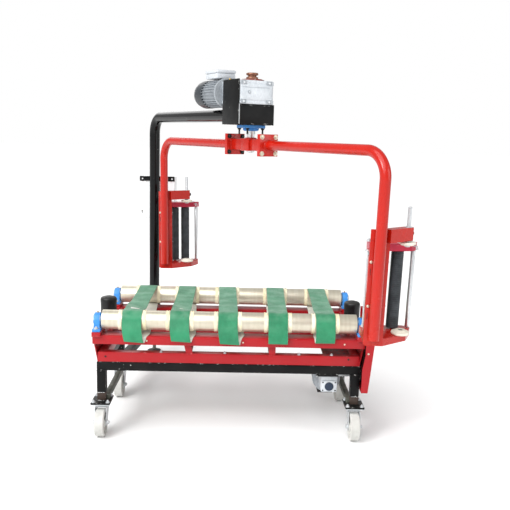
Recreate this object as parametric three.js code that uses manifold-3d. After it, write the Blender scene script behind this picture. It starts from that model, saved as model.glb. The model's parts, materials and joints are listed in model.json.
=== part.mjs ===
// Bale wrapping machine: two belt-linked rollers turn a round bale on a wheeled table
// while a twin arm, hung from a mast, carries two stretch-film dispensers around it.
// Millimetres, +Z up. Origin on the floor, under the middle of the machine's box.
import * as THREE from 'three';
import { mergeVertices } from 'three/addons/utils/BufferGeometryUtils.js';
import Module from 'manifold-3d';

const wasm = await Module();
wasm.setup();

// ---------------------------------------------------------------- driving dimensions
const GAP = 0.3; // between pieces that touch
const RUNNING = 0.4; // radial clearance of what turns or slides
const OVERRUN = 1; // how far a cutting tool passes the face it cuts

const wrapAxis = { x: 18, y: -198 }; // plan position of the arm's turning axis
const tableOffset = -75; // middle of the table from the wrap axis, along X

const caster = {
  wheelRadius: 62.5, treadWidth: 42, hubWidth: 46, boreRadius: 6, trail: 38, forkPlate: 4,
  forkWidth: 36, crownClearance: 4, swivelRadius: 29, swivelHeight: 10, plateX: 85, plateY: 105,
  plateThickness: 13, axleOverhang: 7, hubShare: 0.34, webShare: 0.4, rimShare: 0.8, shoulderShare: 0.95,
  webWidthShare: 0.72, crownWidthShare: 0.6,
};
const base = {
  halfLength: 585, halfDepth: 265, tube: 40, legLength: 140, stretcher: 25, stretcherRise: 10,
  braceTube: 40, padThickness: 10, padLeft: 63, padRight: 35,
};
// Along X, from the end of the base's beams to what is carried at that end.
const fromBaseEnd = { rail: -5, topFrame: 12, roller: -27.5, bearing: -7, gearbox: -131, chain: 19.5 };
const frame = {
  halfLength: base.halfLength + fromBaseEnd.rail, railHeight: 45, railDepth: 40, clearBetweenRails: 44,
  topHalfLength: base.halfLength + fromBaseEnd.topFrame,
  topHalfDepth: 295, topRailHeight: 40, topRailDepth: 80, sideRail: 50, endPlate: 4, strap: 30,
  strapThickness: 5, strapX: [-181.5, 190], seatHeight: 16, seatLength: 112, seatWidth: 38,
  trayOverlap: 4,
};
const roller = {
  radius: 42.7, halfLength: base.halfLength + fromBaseEnd.roller, shaftRadius: 15,
  halfSpacing: 254, collarRadius: 44.8,
  collarWidth: 15, driveStub: 34, shaftOverhang: 6,
};
const belt = { count: 5, pitch: 211, width: 85, thickness: 3, side: 1.5 };
const bearing = {
  x: base.halfLength + fromBaseEnd.bearing, width: 32, baseLength: 104, baseWidth: 36,
  baseHeight: 14, axisHeight: 45.4,
  ringRadius: 31, neckInset: 3, neckFoot: 38.8, neckTop: 26.4,
};
const cone = {
  bottomRadius: 37, topRadius: 38.5, height: 88, shoulder: 7, shoulderInset: 6, crownRadius: 18,
  domeHeight: 6,
  pinRadius: 9, pinCover: 12, rise: 14, riserRadius: 16,
};
const drive = {
  x: base.halfLength + fromBaseEnd.gearbox, y: -172, axisDrop: 28.6, width: 78,
  wheelRadius: 50, wormDrop: 40, wormRadius: 27,
  wormHalfLength: 56, shaftRadius: 10, motorRadius: 56, motorLength: 190,
  chainX: base.halfLength + fromBaseEnd.chain,
  sprocketRadius: 26, sprocketWidth: 5, rollerSprocketRadius: 38, chainThickness: 6,
  chainWidth: 9, teeth: 12, rollerTeeth: 18, toothDepth: 4, axleOverhang: 8, axleInset: 6,
  wormCapRadius: 18, wormCapDepth: 5, motorFlange: 6, motorFlangeDepth: 10, boxX: 74, boxY: 84,
  boxHeight: 34,
  boxPlace: 62, boxSink: 11,
};
const guard = {
  wall: 3, topWidth: 50, bottomWidth: 17, innerStep: 12, bendRise: 63.4, footDrop: 66.6,
  topRise: 51.4,
  frontY: -312, backY: -118,
};
const mast = {
  x: -555.5, y: 980, radius: 30.15, bendRadius: 96, armZ: 1428, footZ: 118,
  socketWall: 6, padRadius: 42, padHeight: 14, screwRadius: 11,
};
const head = {
  turn: 27.9, left: -105, right: 69, halfDepth: 86, boxBottom: 1385, boxTop: 1475, wall: 6,
  sideGap: 2, sideTop: 1582, sideBack: 66, chamfer: 14, gearTop: 1578, wormX: -75, plugX: -61,
  plugRadius: 7, plugDepth: 7,
  topFlangeRadius: 57, topFlangeHeight: 11,
};
const motor = {
  radius: 60, finRadius: 66, fins: 9, flangeRadius: 70, flangeDepth: 14, bodyEnd: 250,
  cowlEnd: 340, cowlWall: 4, finThickness: 4, finInset: 6, boxX: 92, boxY: 128, boxHeight: 39,
  boxStart: 108,
  lidShare: 0.6, lidReach: 3, glandRadius: 17, glandLength: 56,
};
const shaft = { radius: 17.5, top: 1592, nutRadius: 27, nutHeight: 27, nutWaist: 19, bottom: 1262 };
const flangeBearing = { size: 103, thickness: 13, bossRadius: 37, bossDepth: 13 };
const hub = {
  z: 1297, block: 66, blockHeight: 56, tube: 50, plate: 97, plateThickness: 10, reach: 137,
};
const arm = { azimuth: 57.6, radius: 891, tube: 21.2, bendRadius: 120, lean: 1.6, bottomZ: 597 };
const box = {
  width: 212, shift: 11, height: 246, depth: 130, top: 1073, sheet: 2, barHeight: 29, barThickness: 5,
  barLength: 208, barTop: 1081, holeRadius: 7, holeInset: 15, doorThickness: 16, lockRadius: 9,
  lockReach: 6, lockInset: 22,
};

// Dispenser: plan positions are from the arm tube's axis, heights are above the floor.
const film = {
  plateLeft: -34, plateRight: 40, plateThickness: 5, plateTop: 1012, plateBottom: 572,
  bracketTurn: 37.5, bracketWidth: 36, bracketTop: 1015, bracketHeight: 50, bracketEnd: 13,
  bracketStart: 34,
  spindle: [120, 92], spindleRadius: 7.7, spindleTop: 1092, spindleBottom: 944,
  discRadius: 33, discHeight: 13, discBottom: 946, collarReach: 3,
  lowerDiscRadius: 36, lowerDiscHeight: 11, lowerBossRadius: 25, lowerBossHeight: 7,
  lowerPinRadius: 9, floorTop: 597, floorThickness: 6, skirtHeight: 30, skirt: 4,
  caseBottom: 914, caseTop: 942, caseWall: 4, endPlay: 4, rollerA: [44, 157], rollerB: [104, 171],
  rollerRadius: 24.5, rollerPin: 6, idler: [168, 186], idlerRadius: 9.5, idlerPin: 4,
  tie: [-10, 176], tieRadius: 5.5, gearRadius: 26, gearHeight: 12,
  knobRadius: 9, knobLength: 12, knobScrew: 4, knobDrop: 24, hangerThickness: 6, hangerDepth: 126,
  floorEdge: [[146, 102], [162, 140], [179, 182], [179, 204], [150, 214], [-22, 192]], floorInset: 6,
  caseEdge: [
    [-15, 136], [22, 118], [152, 144], [170, 162], [181, 186], [184, 200], [150, 216], [-15, 194],
  ],
};

// ---------------------------------------------------------------- derived places
const CASTER_TOP = 2 * caster.wheelRadius + caster.crownClearance + caster.forkPlate
  + caster.swivelHeight + 2 * GAP;
const LEG_BOTTOM = CASTER_TOP + caster.plateThickness;
const BEAM_BOTTOM = LEG_BOTTOM + base.legLength;
const BEAM_TOP = BEAM_BOTTOM + base.tube;
const RAIL_BOTTOM = BEAM_TOP + GAP;
const RAIL_TOP = RAIL_BOTTOM + frame.railHeight;
const TOP_RAIL_BOTTOM = RAIL_TOP + frame.clearBetweenRails;
const TOP_RAIL_TOP = TOP_RAIL_BOTTOM + frame.topRailHeight;
const SEAT_TOP = TOP_RAIL_TOP + frame.seatHeight;
const ROLLER_Z = SEAT_TOP + GAP + bearing.axisHeight;
const DRIVE_Z = BEAM_BOTTOM - drive.axisDrop;
const GUARD_FOOT = BEAM_BOTTOM - guard.footDrop;
const GUARD_BEND = BEAM_TOP + guard.bendRise;
const GUARD_TOP = ROLLER_Z + guard.topRise;
const LEG_X = base.halfLength - base.tube / 2;
const LEG_Y = base.halfDepth - base.tube / 2;
const MAST_X = mast.x - tableOffset;
const BOX_X = mast.x + box.shift;
const GEAR_BOTTOM = head.boxTop + GAP;
const WORM_Z = (GEAR_BOTTOM + head.gearTop) / 2;
const SEGMENTS = 16;
const FINE = 20;
const ARC_STEPS = 7; // facets in a half turn of a belt or chain, or in a bent tube

// ---------------------------------------------------------------- solid modelling helpers
function toSolid(geometry) {
  const bare = geometry.index ? geometry.toNonIndexed() : geometry.clone();
  bare.deleteAttribute('normal');
  bare.deleteAttribute('uv');
  const merged = mergeVertices(bare, 1e-4);
  const at = merged.attributes.position;
  const index = merged.index.array;
  const triangles = [];
  let volume = 0;
  const [a, b, c] = [new THREE.Vector3(), new THREE.Vector3(), new THREE.Vector3()];
  for (let i = 0; i < index.length; i += 3) {
    const [p, q, r] = [index[i], index[i + 1], index[i + 2]];
    if (p === q || q === r || r === p) continue;
    triangles.push(p, q, r);
    a.fromBufferAttribute(at, p);
    b.fromBufferAttribute(at, q);
    c.fromBufferAttribute(at, r);
    volume += a.dot(b.cross(c));
  }
  if (volume < 0) triangles.reverse();
  return new wasm.Manifold(new wasm.Mesh({
    numProp: 3,
    vertProperties: new Float32Array(at.array),
    triVerts: new Uint32Array(triangles),
  }));
}

function block(sizeX, sizeY, sizeZ, x, y, z) {
  return toSolid(new THREE.BoxGeometry(sizeX, sizeY, sizeZ).translate(x, y, z));
}

function span(x0, x1, y0, y1, z0, z1) {
  return block(x1 - x0, y1 - y0, z1 - z0, (x0 + x1) / 2, (y0 + y1) / 2, (z0 + z1) / 2);
}

// A turned solid about Z: points are [radius, height], bottom to top, from the axis back to the axis.
function turned(points, segments = SEGMENTS) {
  const outline = points.map(([radius, height]) => new THREE.Vector2(radius, height));
  return toSolid(new THREE.LatheGeometry(outline, segments).rotateX(Math.PI / 2));
}

function rod(radius, z0, z1, segments = SEGMENTS) {
  return turned([[0, z0], [radius, z0], [radius, z1], [0, z1]], segments);
}

function rodAt([x, y], radius, z0, z1, segments = SEGMENTS) {
  return rod(radius, z0, z1, segments).translate([x, y, 0]);
}

function rodAlongX(radius, x0, x1, y, z, segments = SEGMENTS) {
  return rod(radius, x0, x1, segments).rotate([0, 90, 0]).translate([0, y, z]);
}

function rodAlongY(radius, y0, y1, x, z, segments = SEGMENTS) {
  return rod(radius, -y1, -y0, segments).rotate([90, 0, 0]).translate([x, 0, z]);
}

// An outline in plan, given as [x, y] corners, raised from z0 to z1.
function prism(corners, z0, z1) {
  const shape = new THREE.Shape(corners.map(([x, y]) => new THREE.Vector2(x, y)));
  const solid = toSolid(new THREE.ExtrudeGeometry(shape, { depth: z1 - z0, bevelEnabled: false }));
  return solid.translate([0, 0, z0]);
}

// An outline in the YZ plane, given as [y, z] corners, from x0 to x1.
function profileAlongX(corners, x0, x1) {
  return prism(corners, x0, x1).rotate([90, 0, 90]);
}

// An outline in the XZ plane, given as [x, z] corners, from y0 to y1.
function profileAlongY(corners, y0, y1) {
  return prism(corners, -y1, -y0).rotate([90, 0, 0]);
}

// A path that an extrusion samples exactly at its own points, so straight runs stay one facet long.
class PointPath extends THREE.Curve {
  constructor(points) {
    super();
    this.points = points;
  }

  getPoint(share, target = new THREE.Vector3()) {
    const last = this.points.length - 1;
    const i = Math.min(Math.floor(share * last + 1e-6), last - 1);
    return target.copy(this.points[i]).lerp(this.points[i + 1], share * last - i);
  }

  getPointAt(share, target) {
    return this.getPoint(share, target);
  }

  getTangentAt(share, target = new THREE.Vector3()) {
    const last = this.points.length - 1;
    const i = Math.round(share * last);
    const next = this.points[Math.min(i + 1, last)];
    const before = this.points[Math.max(i - 1, 0)];
    return target.copy(next).sub(before).normalize();
  }
}

function pipe(points, radius, segments = 12) {
  const ring = new THREE.Shape();
  ring.absarc(0, 0, radius, 0, 2 * Math.PI, false);
  return toSolid(new THREE.ExtrudeGeometry(ring, {
    steps: points.length - 1, extrudePath: new PointPath(points), curveSegments: segments / 2,
    bevelEnabled: false,
  }));
}

// Straight, quarter bend, straight: from start to end round the corner between them.
function bentPath(start, corner, end, radius) {
  const before = start.clone().sub(corner).normalize();
  const after = end.clone().sub(corner).normalize();
  const setback = radius / Math.tan(before.angleTo(after) / 2);
  const bendStart = corner.clone().addScaledVector(before, setback);
  const bendEnd = corner.clone().addScaledVector(after, setback);
  const circleHandle = 0.5523;
  const bend = new THREE.CubicBezierCurve3(
    bendStart,
    bendStart.clone().addScaledVector(before, -setback * circleHandle),
    bendEnd.clone().addScaledVector(after, -setback * circleHandle),
    bendEnd,
  );
  return [start, ...bend.getPoints(ARC_STEPS), end];
}

function joined(solids) {
  return solids.reduce((sum, solid) => sum.add(solid));
}

function cut(solid, tools) {
  return tools.reduce((rest, tool) => rest.subtract(tool), solid);
}

function toothedDisc(tipRadius, rootRadius, teeth, z0, z1) {
  const corners = [];
  for (let i = 0; i < teeth; i += 1) {
    for (const [radius, share] of [[rootRadius, 0], [tipRadius, 0.3], [tipRadius, 0.55],
      [rootRadius, 0.85]]) {
      const angle = ((i + share) / teeth) * 2 * Math.PI;
      corners.push([radius * Math.cos(angle), radius * Math.sin(angle)]);
    }
  }
  return prism(corners, z0, z1);
}

function paint(color, roughness, metalness) {
  return new THREE.MeshStandardMaterial({ color, roughness, metalness });
}

const finish = {
  black: paint(0x1d1f21, 0.45, 0.1),
  red: paint(0xe4262c, 0.35, 0.05),
  orange: paint(0xee3021, 0.32, 0.05),
  crimson: paint(0xcf2a48, 0.4, 0.05),
  zinc: paint(0xbfc3c4, 0.35, 0.9),
  passivated: paint(0xc9bf9c, 0.38, 0.8),
  belt: paint(0x268f68, 0.7, 0),
  blue: paint(0x4a92d2, 0.4, 0.1),
  rubber: paint(0x2b2d30, 0.6, 0),
  casting: paint(0xd3d8dc, 0.45, 0.5),
  motorGrey: paint(0xa8adb2, 0.45, 0.5),
  cowl: paint(0x6c7176, 0.5, 0.3),
  nylon: paint(0xeeece2, 0.5, 0),
  bronze: paint(0xa97a5a, 0.4, 0.8),
  cabinet: paint(0xe6e9ea, 0.5, 0.1),
};

function add(parent, name, solid, material) {
  const raw = solid.getMesh();
  const geometry = new THREE.BufferGeometry();
  geometry.setAttribute('position', new THREE.BufferAttribute(new Float32Array(raw.vertProperties), 3));
  geometry.setIndex(new THREE.BufferAttribute(new Uint32Array(raw.triVerts), 1));
  geometry.computeVertexNormals();
  const mesh = new THREE.Mesh(geometry, material);
  mesh.name = name;
  parent.add(mesh);
}

const machine = new THREE.Group();
machine.position.set(wrapAxis.x, wrapAxis.y, 0);
const table = new THREE.Group();
table.position.x = tableOffset;
machine.add(table);

const corners = [['front_left', -1, -1], ['front_right', 1, -1], ['rear_left', -1, 1], ['rear_right',
  1, 1]];

// ---------------------------------------------------------------- wheeled base
function baseFrame() {
  const t = base.tube;
  const parts = [];
  for (const side of [-1, 1]) {
    parts.push(block(2 * base.halfLength, t, t, 0, side * LEG_Y, BEAM_TOP - t / 2));
    parts.push(block(t, 2 * base.halfDepth, t, side * LEG_X, 0, BEAM_TOP - t / 2));
    const stretcherX = side * (base.halfLength - t);
    const stretcherZ = LEG_BOTTOM + base.stretcherRise;
    parts.push(block(base.stretcher, 2 * LEG_Y, base.stretcher, stretcherX, 0, stretcherZ));
  }
  for (const [, sx, sy] of corners) {
    parts.push(block(t, t, base.legLength + t, sx * LEG_X, sy * LEG_Y, (LEG_BOTTOM + BEAM_TOP) / 2));
    const plateZ = CASTER_TOP + caster.plateThickness / 2;
    parts.push(block(caster.plateX, caster.plateY, caster.plateThickness, sx * LEG_X, sy * LEG_Y,
      plateZ));
  }
  return joined([...parts, ...outrigger()]);
}

// Two beams run back from the rear left leg to the socket that holds the mast.
function outrigger() {
  const run = new THREE.Vector2(MAST_X + LEG_X, mast.y - LEG_Y);
  const turn = THREE.MathUtils.radToDeg(Math.atan2(-run.x, run.y));
  const length = run.length() - mast.radius;
  const socketTop = BEAM_TOP;
  const beams = [LEG_BOTTOM + base.braceTube / 2, socketTop - base.braceTube / 2].map((z) => (
    span(-base.braceTube / 2, base.braceTube / 2, 0, length, z - base.braceTube / 2,
      z + base.braceTube / 2)
      .rotate([0, 0, turn]).translate([-LEG_X, LEG_Y, 0])
  ));
  const outer = mast.radius + GAP + mast.socketWall;
  const socket = joined([
    rod(outer, mast.footZ - mast.socketWall, socketTop, FINE),
    rod(mast.screwRadius, mast.padHeight / 2, mast.footZ - mast.socketWall + OVERRUN),
    rod(mast.padRadius, 0, mast.padHeight, FINE),
  ]).translate([MAST_X, mast.y, 0]);
  const clear = (mast.radius + GAP) / Math.cos(Math.PI / FINE);
  const bore = rodAt([MAST_X, mast.y], clear, mast.footZ, socketTop + OVERRUN, FINE);
  const seatBracket = driveBracket();
  return [cut(joined([...beams, socket]), [bore]), seatBracket];
}

// A pad under the front beam and a web behind it carry the roller gearbox.
function driveBracket() {
  const backY = drive.y - drive.wheelRadius - 2 * GAP;
  return span(
    drive.x - base.padLeft, drive.x + base.padRight, -base.halfDepth, backY,
    BEAM_BOTTOM - base.padThickness,
    BEAM_BOTTOM + OVERRUN,
  );
}

add(table, 'base_frame', baseFrame(), finish.black);

function casterFork() {
  const axleZ = caster.wheelRadius;
  const crownZ = 2 * caster.wheelRadius + caster.crownClearance;
  const cheekX = caster.hubWidth / 2 + RUNNING + caster.forkPlate / 2;
  const crownTop = crownZ + caster.forkPlate;
  const parts = [
    rod(caster.swivelRadius, crownTop - OVERRUN, crownTop + caster.swivelHeight),
    span(-cheekX - caster.forkPlate / 2, cheekX + caster.forkPlate / 2, -caster.swivelRadius,
      caster.swivelRadius, crownZ, crownTop),
  ];
  for (const side of [-1, 1]) {
    const cheek = profileAlongX([
      [-caster.trail - caster.forkWidth / 2, axleZ - caster.forkWidth / 3],
      [-caster.trail + caster.forkWidth / 2, axleZ - caster.forkWidth / 3],
      [caster.swivelRadius, crownTop], [-caster.swivelRadius - caster.trail / 3, crownTop],
    ], side * cheekX - caster.forkPlate / 2, side * cheekX + caster.forkPlate / 2);
    parts.push(cheek);
  }
  const axleReach = cheekX + caster.forkPlate / 2 + caster.axleOverhang;
  parts.push(rodAlongX(caster.boreRadius - RUNNING, -axleReach, axleReach, -caster.trail, axleZ, 16));
  return joined(parts);
}

function casterWheel() {
  const r = caster.wheelRadius;
  const half = caster.treadWidth / 2;
  const hubHalf = caster.hubWidth / 2;
  const web = half * caster.webWidthShare;
  const crown = half * caster.crownWidthShare;
  const lower = [
    [caster.boreRadius, -hubHalf], [r * caster.hubShare, -hubHalf], [r * caster.webShare, -web],
    [r * caster.rimShare, -web], [r * (caster.rimShare + caster.shoulderShare) / 2, -half],
    [r * caster.shoulderShare, -half], [r, -crown],
  ];
  const upper = lower.map(([radius, height]) => [radius, -height]).reverse();
  return turned([...lower, ...upper, lower[0]]).rotate([0, 90, 0]).translate([0, -caster.trail, r]);
}

for (const [place, sx, sy] of corners) {
  const corner = new THREE.Group();
  corner.position.set(sx * LEG_X, sy * LEG_Y, 0);
  table.add(corner);
  add(corner, `caster_fork_${place}`, casterFork(), finish.zinc);
  add(corner, `caster_wheel_${place}`, casterWheel(), finish.nylon);
}

// ---------------------------------------------------------------- red table frame
function tableFrame() {
  const parts = [];
  const railY = base.halfDepth - frame.railDepth / 2;
  const railZ = (RAIL_BOTTOM + RAIL_TOP) / 2;
  const topZ = (TOP_RAIL_BOTTOM + TOP_RAIL_TOP) / 2;
  const sideX = frame.topHalfLength - frame.sideRail / 2;
  for (const side of [-1, 1]) {
    parts.push(block(2 * frame.halfLength, frame.railDepth, frame.railHeight, 0, side * railY, railZ));
    parts.push(block(frame.railDepth, 2 * base.halfDepth, frame.railHeight,
      side * (frame.halfLength - frame.railDepth / 2), 0, railZ));
    const topRailY = side * (frame.topHalfDepth - frame.topRailDepth / 2);
    parts.push(block(2 * frame.topHalfLength, frame.topRailDepth, frame.topRailHeight, 0, topRailY,
      topZ));
    parts.push(block(frame.sideRail, 2 * frame.topHalfDepth, frame.topRailHeight, side * sideX, 0, topZ));
    parts.push(endPlate(side));
    parts.push(rodAt([side * bearing.x, 0], cone.pinRadius, TOP_RAIL_BOTTOM + OVERRUN,
      coneTop() - cone.pinCover));
    parts.push(rodAt([side * bearing.x, 0], cone.riserRadius, TOP_RAIL_TOP - OVERRUN,
      TOP_RAIL_TOP + cone.rise));
    for (const end of [-1, 1]) {
      parts.push(block(frame.seatWidth, frame.seatLength, frame.seatHeight + OVERRUN, side * bearing.x,
        end * roller.halfSpacing, SEAT_TOP - (frame.seatHeight + OVERRUN) / 2));
    }
  }
  for (const strapX of frame.strapX) {
    parts.push(block(frame.strap, 2 * railY, frame.strapThickness, strapX, 0,
      RAIL_TOP - frame.strapThickness / 2));
    for (const side of [-1, 1]) {
      const postY = side * (base.halfDepth - frame.strapThickness);
      const low = RAIL_TOP - OVERRUN;
      parts.push(span(strapX - frame.strap / 2, strapX + frame.strap / 2, postY - frame.strapThickness,
        postY + frame.strapThickness, low, TOP_RAIL_BOTTOM + OVERRUN));
    }
  }
  parts.push(gearboxTray());
  return joined(parts);
}

function coneTop() {
  return TOP_RAIL_TOP + cone.rise + GAP + cone.height + cone.domeHeight;
}

function endPlate(side) {
  const outer = [[frame.topHalfLength, TOP_RAIL_BOTTOM + OVERRUN], [frame.halfLength, RAIL_BOTTOM]];
  const inner = [[frame.halfLength - frame.endPlate, RAIL_BOTTOM],
    [frame.topHalfLength - frame.endPlate, TOP_RAIL_BOTTOM + OVERRUN]];
  return profileAlongY([...outer, ...inner].map(([x, z]) => [side * x, z]), -base.halfDepth,
    base.halfDepth);
}

// A plate between the lower rails at the driven end stiffens the frame over the gearbox.
function gearboxTray() {
  const left = drive.x - drive.width / 2 + frame.trayOverlap;
  return span(left, frame.halfLength - OVERRUN, -base.halfDepth + OVERRUN, base.halfDepth - OVERRUN,
    RAIL_TOP - frame.strapThickness, RAIL_TOP);
}

add(table, 'table_frame', tableFrame(), finish.red);

// ---------------------------------------------------------------- rollers, belts and bearings
function beltCentres() {
  return Array.from({ length: belt.count }, (_, i) => (i - (belt.count - 1) / 2) * belt.pitch);
}

function rollerSolid(driven) {
  const shaftEnd = bearing.x + bearing.width / 2 + roller.shaftOverhang;
  const outline = [[0, -shaftEnd], [roller.shaftRadius, -shaftEnd], [roller.shaftRadius,
    -roller.halfLength],
    [roller.radius, -roller.halfLength]];
  for (const centre of beltCentres()) {
    for (const side of [-1, 1]) {
      const near = centre + side * (belt.width / 2 + belt.side);
      const far = near + side * roller.collarWidth;
      const [low, high] = side < 0 ? [far, near] : [near, far];
      outline.push([roller.radius, low], [roller.collarRadius, low], [roller.collarRadius, high],
        [roller.radius, high]);
    }
  }
  outline.push([roller.radius, roller.halfLength], [roller.shaftRadius, roller.halfLength]);
  const driveEnd = driven ? bearing.x + roller.driveStub : shaftEnd;
  outline.push([roller.shaftRadius, driveEnd], [0, driveEnd]);
  const body = turned(outline, 16).rotate([0, 90, 0]);
  if (!driven) return body;
  return body.add(sprocket(drive.rollerSprocketRadius, drive.rollerTeeth));
}

function sprocket(tipRadius, teeth) {
  const half = drive.sprocketWidth / 2;
  return toothedDisc(tipRadius, tipRadius - drive.toothDepth, teeth, drive.chainX - half,
    drive.chainX + half)
    .rotate([0, 90, 0]);
}

const rollers = [['front_roller', -1], ['rear_roller', 1]];
for (const [name, side] of rollers) {
  const solid = rollerSolid(side < 0).translate([0, side * roller.halfSpacing, ROLLER_Z]);
  add(table, name, solid, finish.passivated);
}

// A flat loop round both rollers, as an outline in the YZ plane.
function loop(radius) {
  const corners = [];
  const facet = Math.PI / ARC_STEPS;
  const cornerRadius = radius / Math.cos(facet / 2);
  for (const side of [1, -1]) {
    for (let i = 0; i < ARC_STEPS; i += 1) {
      const angle = side * (Math.PI / 2) - (i + 0.5) * facet;
      corners.push([side * roller.halfSpacing + cornerRadius * Math.cos(angle),
        ROLLER_Z + cornerRadius * Math.sin(angle)]);
    }
  }
  return corners;
}

function beltSolid(x) {
  const inside = roller.radius + GAP;
  const outer = profileAlongX(loop(inside + belt.thickness), x - belt.width / 2, x + belt.width / 2);
  const inner = profileAlongX(loop(inside), x - belt.width, x + belt.width);
  return outer.subtract(inner);
}

beltCentres().forEach((x, i) => add(table, `belt_${i + 1}`, beltSolid(x), finish.belt));

function pillowBlock(x, y) {
  const bottom = SEAT_TOP + GAP;
  const body = joined([
    block(bearing.baseWidth, bearing.baseLength, bearing.baseHeight, x, y,
    bottom + bearing.baseHeight / 2),
    rodAlongX(bearing.ringRadius, x - bearing.width / 2, x + bearing.width / 2, y, ROLLER_Z),
    profileAlongX([[y - bearing.neckFoot, bottom + bearing.baseHeight - OVERRUN],
      [y + bearing.neckFoot, bottom + bearing.baseHeight - OVERRUN],
      [y + bearing.neckTop, ROLLER_Z], [y - bearing.neckTop, ROLLER_Z]],
    x - bearing.width / 2 + bearing.neckInset, x + bearing.width / 2 - bearing.neckInset),
  ]);
  const reach = bearing.width;
  return body.subtract(rodAlongX(roller.shaftRadius + RUNNING, x - reach, x + reach, y, ROLLER_Z));
}

for (const [place, sx, sy] of corners) {
  const solid = pillowBlock(sx * bearing.x, sy * roller.halfSpacing);
  add(table, `roller_bearing_${place}`, solid, finish.blue);
}

function guideCone() {
  const bottom = TOP_RAIL_TOP + cone.rise + GAP;
  const top = bottom + cone.height;
  const bore = cone.pinRadius + RUNNING;
  return turned([
    [bore, bottom], [cone.bottomRadius, bottom], [cone.topRadius, top - cone.shoulder],
    [cone.topRadius - cone.shoulderInset, top], [cone.crownRadius, top + cone.domeHeight],
    [bore, top + cone.domeHeight], [bore, bottom],
  ]);
}

for (const [name, side] of [['left', -1], ['right', 1]]) {
  add(table, `guide_cone_${name}`, guideCone().translate([side * bearing.x, 0, 0]), finish.rubber);
}

// ---------------------------------------------------------------- roller drive at the right end
function driveGearbox() {
  const wormZ = DRIVE_Z - drive.wormDrop;
  const half = drive.width / 2;
  const body = joined([
    rodAlongX(drive.wheelRadius, drive.x - half, drive.x + half, drive.y, DRIVE_Z, FINE),
    span(drive.x - half, drive.x + half, drive.y - drive.wormHalfLength, drive.y + drive.wormHalfLength,
      wormZ - drive.wormRadius, wormZ + drive.wormRadius),
    rodAlongY(drive.wormCapRadius, drive.y - drive.wormHalfLength - drive.wormCapDepth, drive.y,
    drive.x, wormZ),
  ]);
  const bore = drive.shaftRadius + RUNNING;
  return body.subtract(rodAlongX(bore, drive.x - half - OVERRUN, drive.x + half + OVERRUN, drive.y,
    DRIVE_Z));
}

function driveMotor() {
  const wormZ = DRIVE_Z - drive.wormDrop;
  const start = drive.y + drive.wormHalfLength + GAP;
  const end = start + drive.motorLength;
  const r = drive.motorRadius;
  return joined([
    rodAlongY(r + drive.motorFlange, start, start + drive.motorFlangeDepth, drive.x, wormZ),
    rodAlongY(r, start, end, drive.x, wormZ),
    block(drive.boxX, drive.boxY, drive.boxHeight, drive.x, start + drive.boxPlace,
      wormZ - r - drive.boxHeight / 2 + drive.boxSink),
  ]);
}

function driveSprocket() {
  const half = drive.width / 2;
  const axle = rod(drive.shaftRadius, drive.x - half - drive.axleInset, drive.chainX + drive.axleOverhang)
    .rotate([0, 90, 0]);
  return axle.add(sprocket(drive.sprocketRadius, drive.teeth)).translate([0, drive.y, DRIVE_Z]);
}

// The outer edge of a chain run: tangent arcs round the two sprockets, in the YZ plane.
function chainOutline(extra) {
  const low = new THREE.Vector2(drive.y, DRIVE_Z);
  const high = new THREE.Vector2(-roller.halfSpacing, ROLLER_Z);
  const rLow = drive.sprocketRadius + GAP + extra;
  const rHigh = drive.rollerSprocketRadius + GAP + extra;
  const axis = high.clone().sub(low);
  const heading = Math.atan2(axis.y, axis.x);
  const flare = Math.acos((rLow - rHigh) / axis.length());
  const points = [];
  for (const [centre, radius, from, turn] of [
    [high, rHigh, heading - flare, 2 * flare], [low, rLow, heading + flare, 2 * (Math.PI - flare)],
  ]) {
    const facet = turn / ARC_STEPS;
    const cornerRadius = radius / Math.cos(facet / 2);
    for (let i = 0; i < ARC_STEPS; i += 1) {
      const angle = from + (i + 0.5) * facet;
      points.push([centre.x + cornerRadius * Math.cos(angle), centre.y + cornerRadius * Math.sin(angle)]);
    }
  }
  return points;
}

function driveChain() {
  const half = drive.chainWidth / 2;
  const outer = profileAlongX(chainOutline(drive.chainThickness), drive.chainX - half,
    drive.chainX + half);
  const inner = profileAlongX(chainOutline(0), drive.chainX - 2 * half, drive.chainX + 2 * half);
  return outer.subtract(inner);
}

// A cover open towards the frame: its outer face leans out towards the top.
function chainGuard() {
  const w = guard.wall;
  const inner = frame.topHalfLength + GAP;
  const outline = (wall) => {
    const open = inner - (wall ? OVERRUN : 0);
    return [
      [open - guard.innerStep, GUARD_FOOT + wall],
      [inner + guard.bottomWidth - wall, GUARD_FOOT + wall],
      [inner + guard.topWidth - wall, GUARD_TOP - wall],
      [open, GUARD_TOP - wall],
      [open, GUARD_BEND],
      [open - guard.innerStep, BEAM_TOP],
    ];
  };
  const shell = profileAlongY(outline(0), guard.frontY, guard.backY);
  return shell.subtract(profileAlongY(outline(w), guard.frontY + w, guard.backY - w));
}

add(table, 'drive_gearbox', driveGearbox(), finish.casting);
add(table, 'drive_motor', driveMotor(), finish.motorGrey);
add(table, 'drive_sprocket', driveSprocket(), finish.zinc);
add(table, 'drive_chain', driveChain(), finish.rubber);
add(table, 'chain_guard', chainGuard(), finish.red);

// ---------------------------------------------------------------- mast and head
const headTurn = THREE.MathUtils.degToRad(head.turn);
// A point of the head's own frame, whose +Y runs back along the overhead arm.
function fromHead(x, y) {
  return [x * Math.cos(headTurn) - y * Math.sin(headTurn),
    x * Math.sin(headTurn) + y * Math.cos(headTurn)];
}

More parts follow.
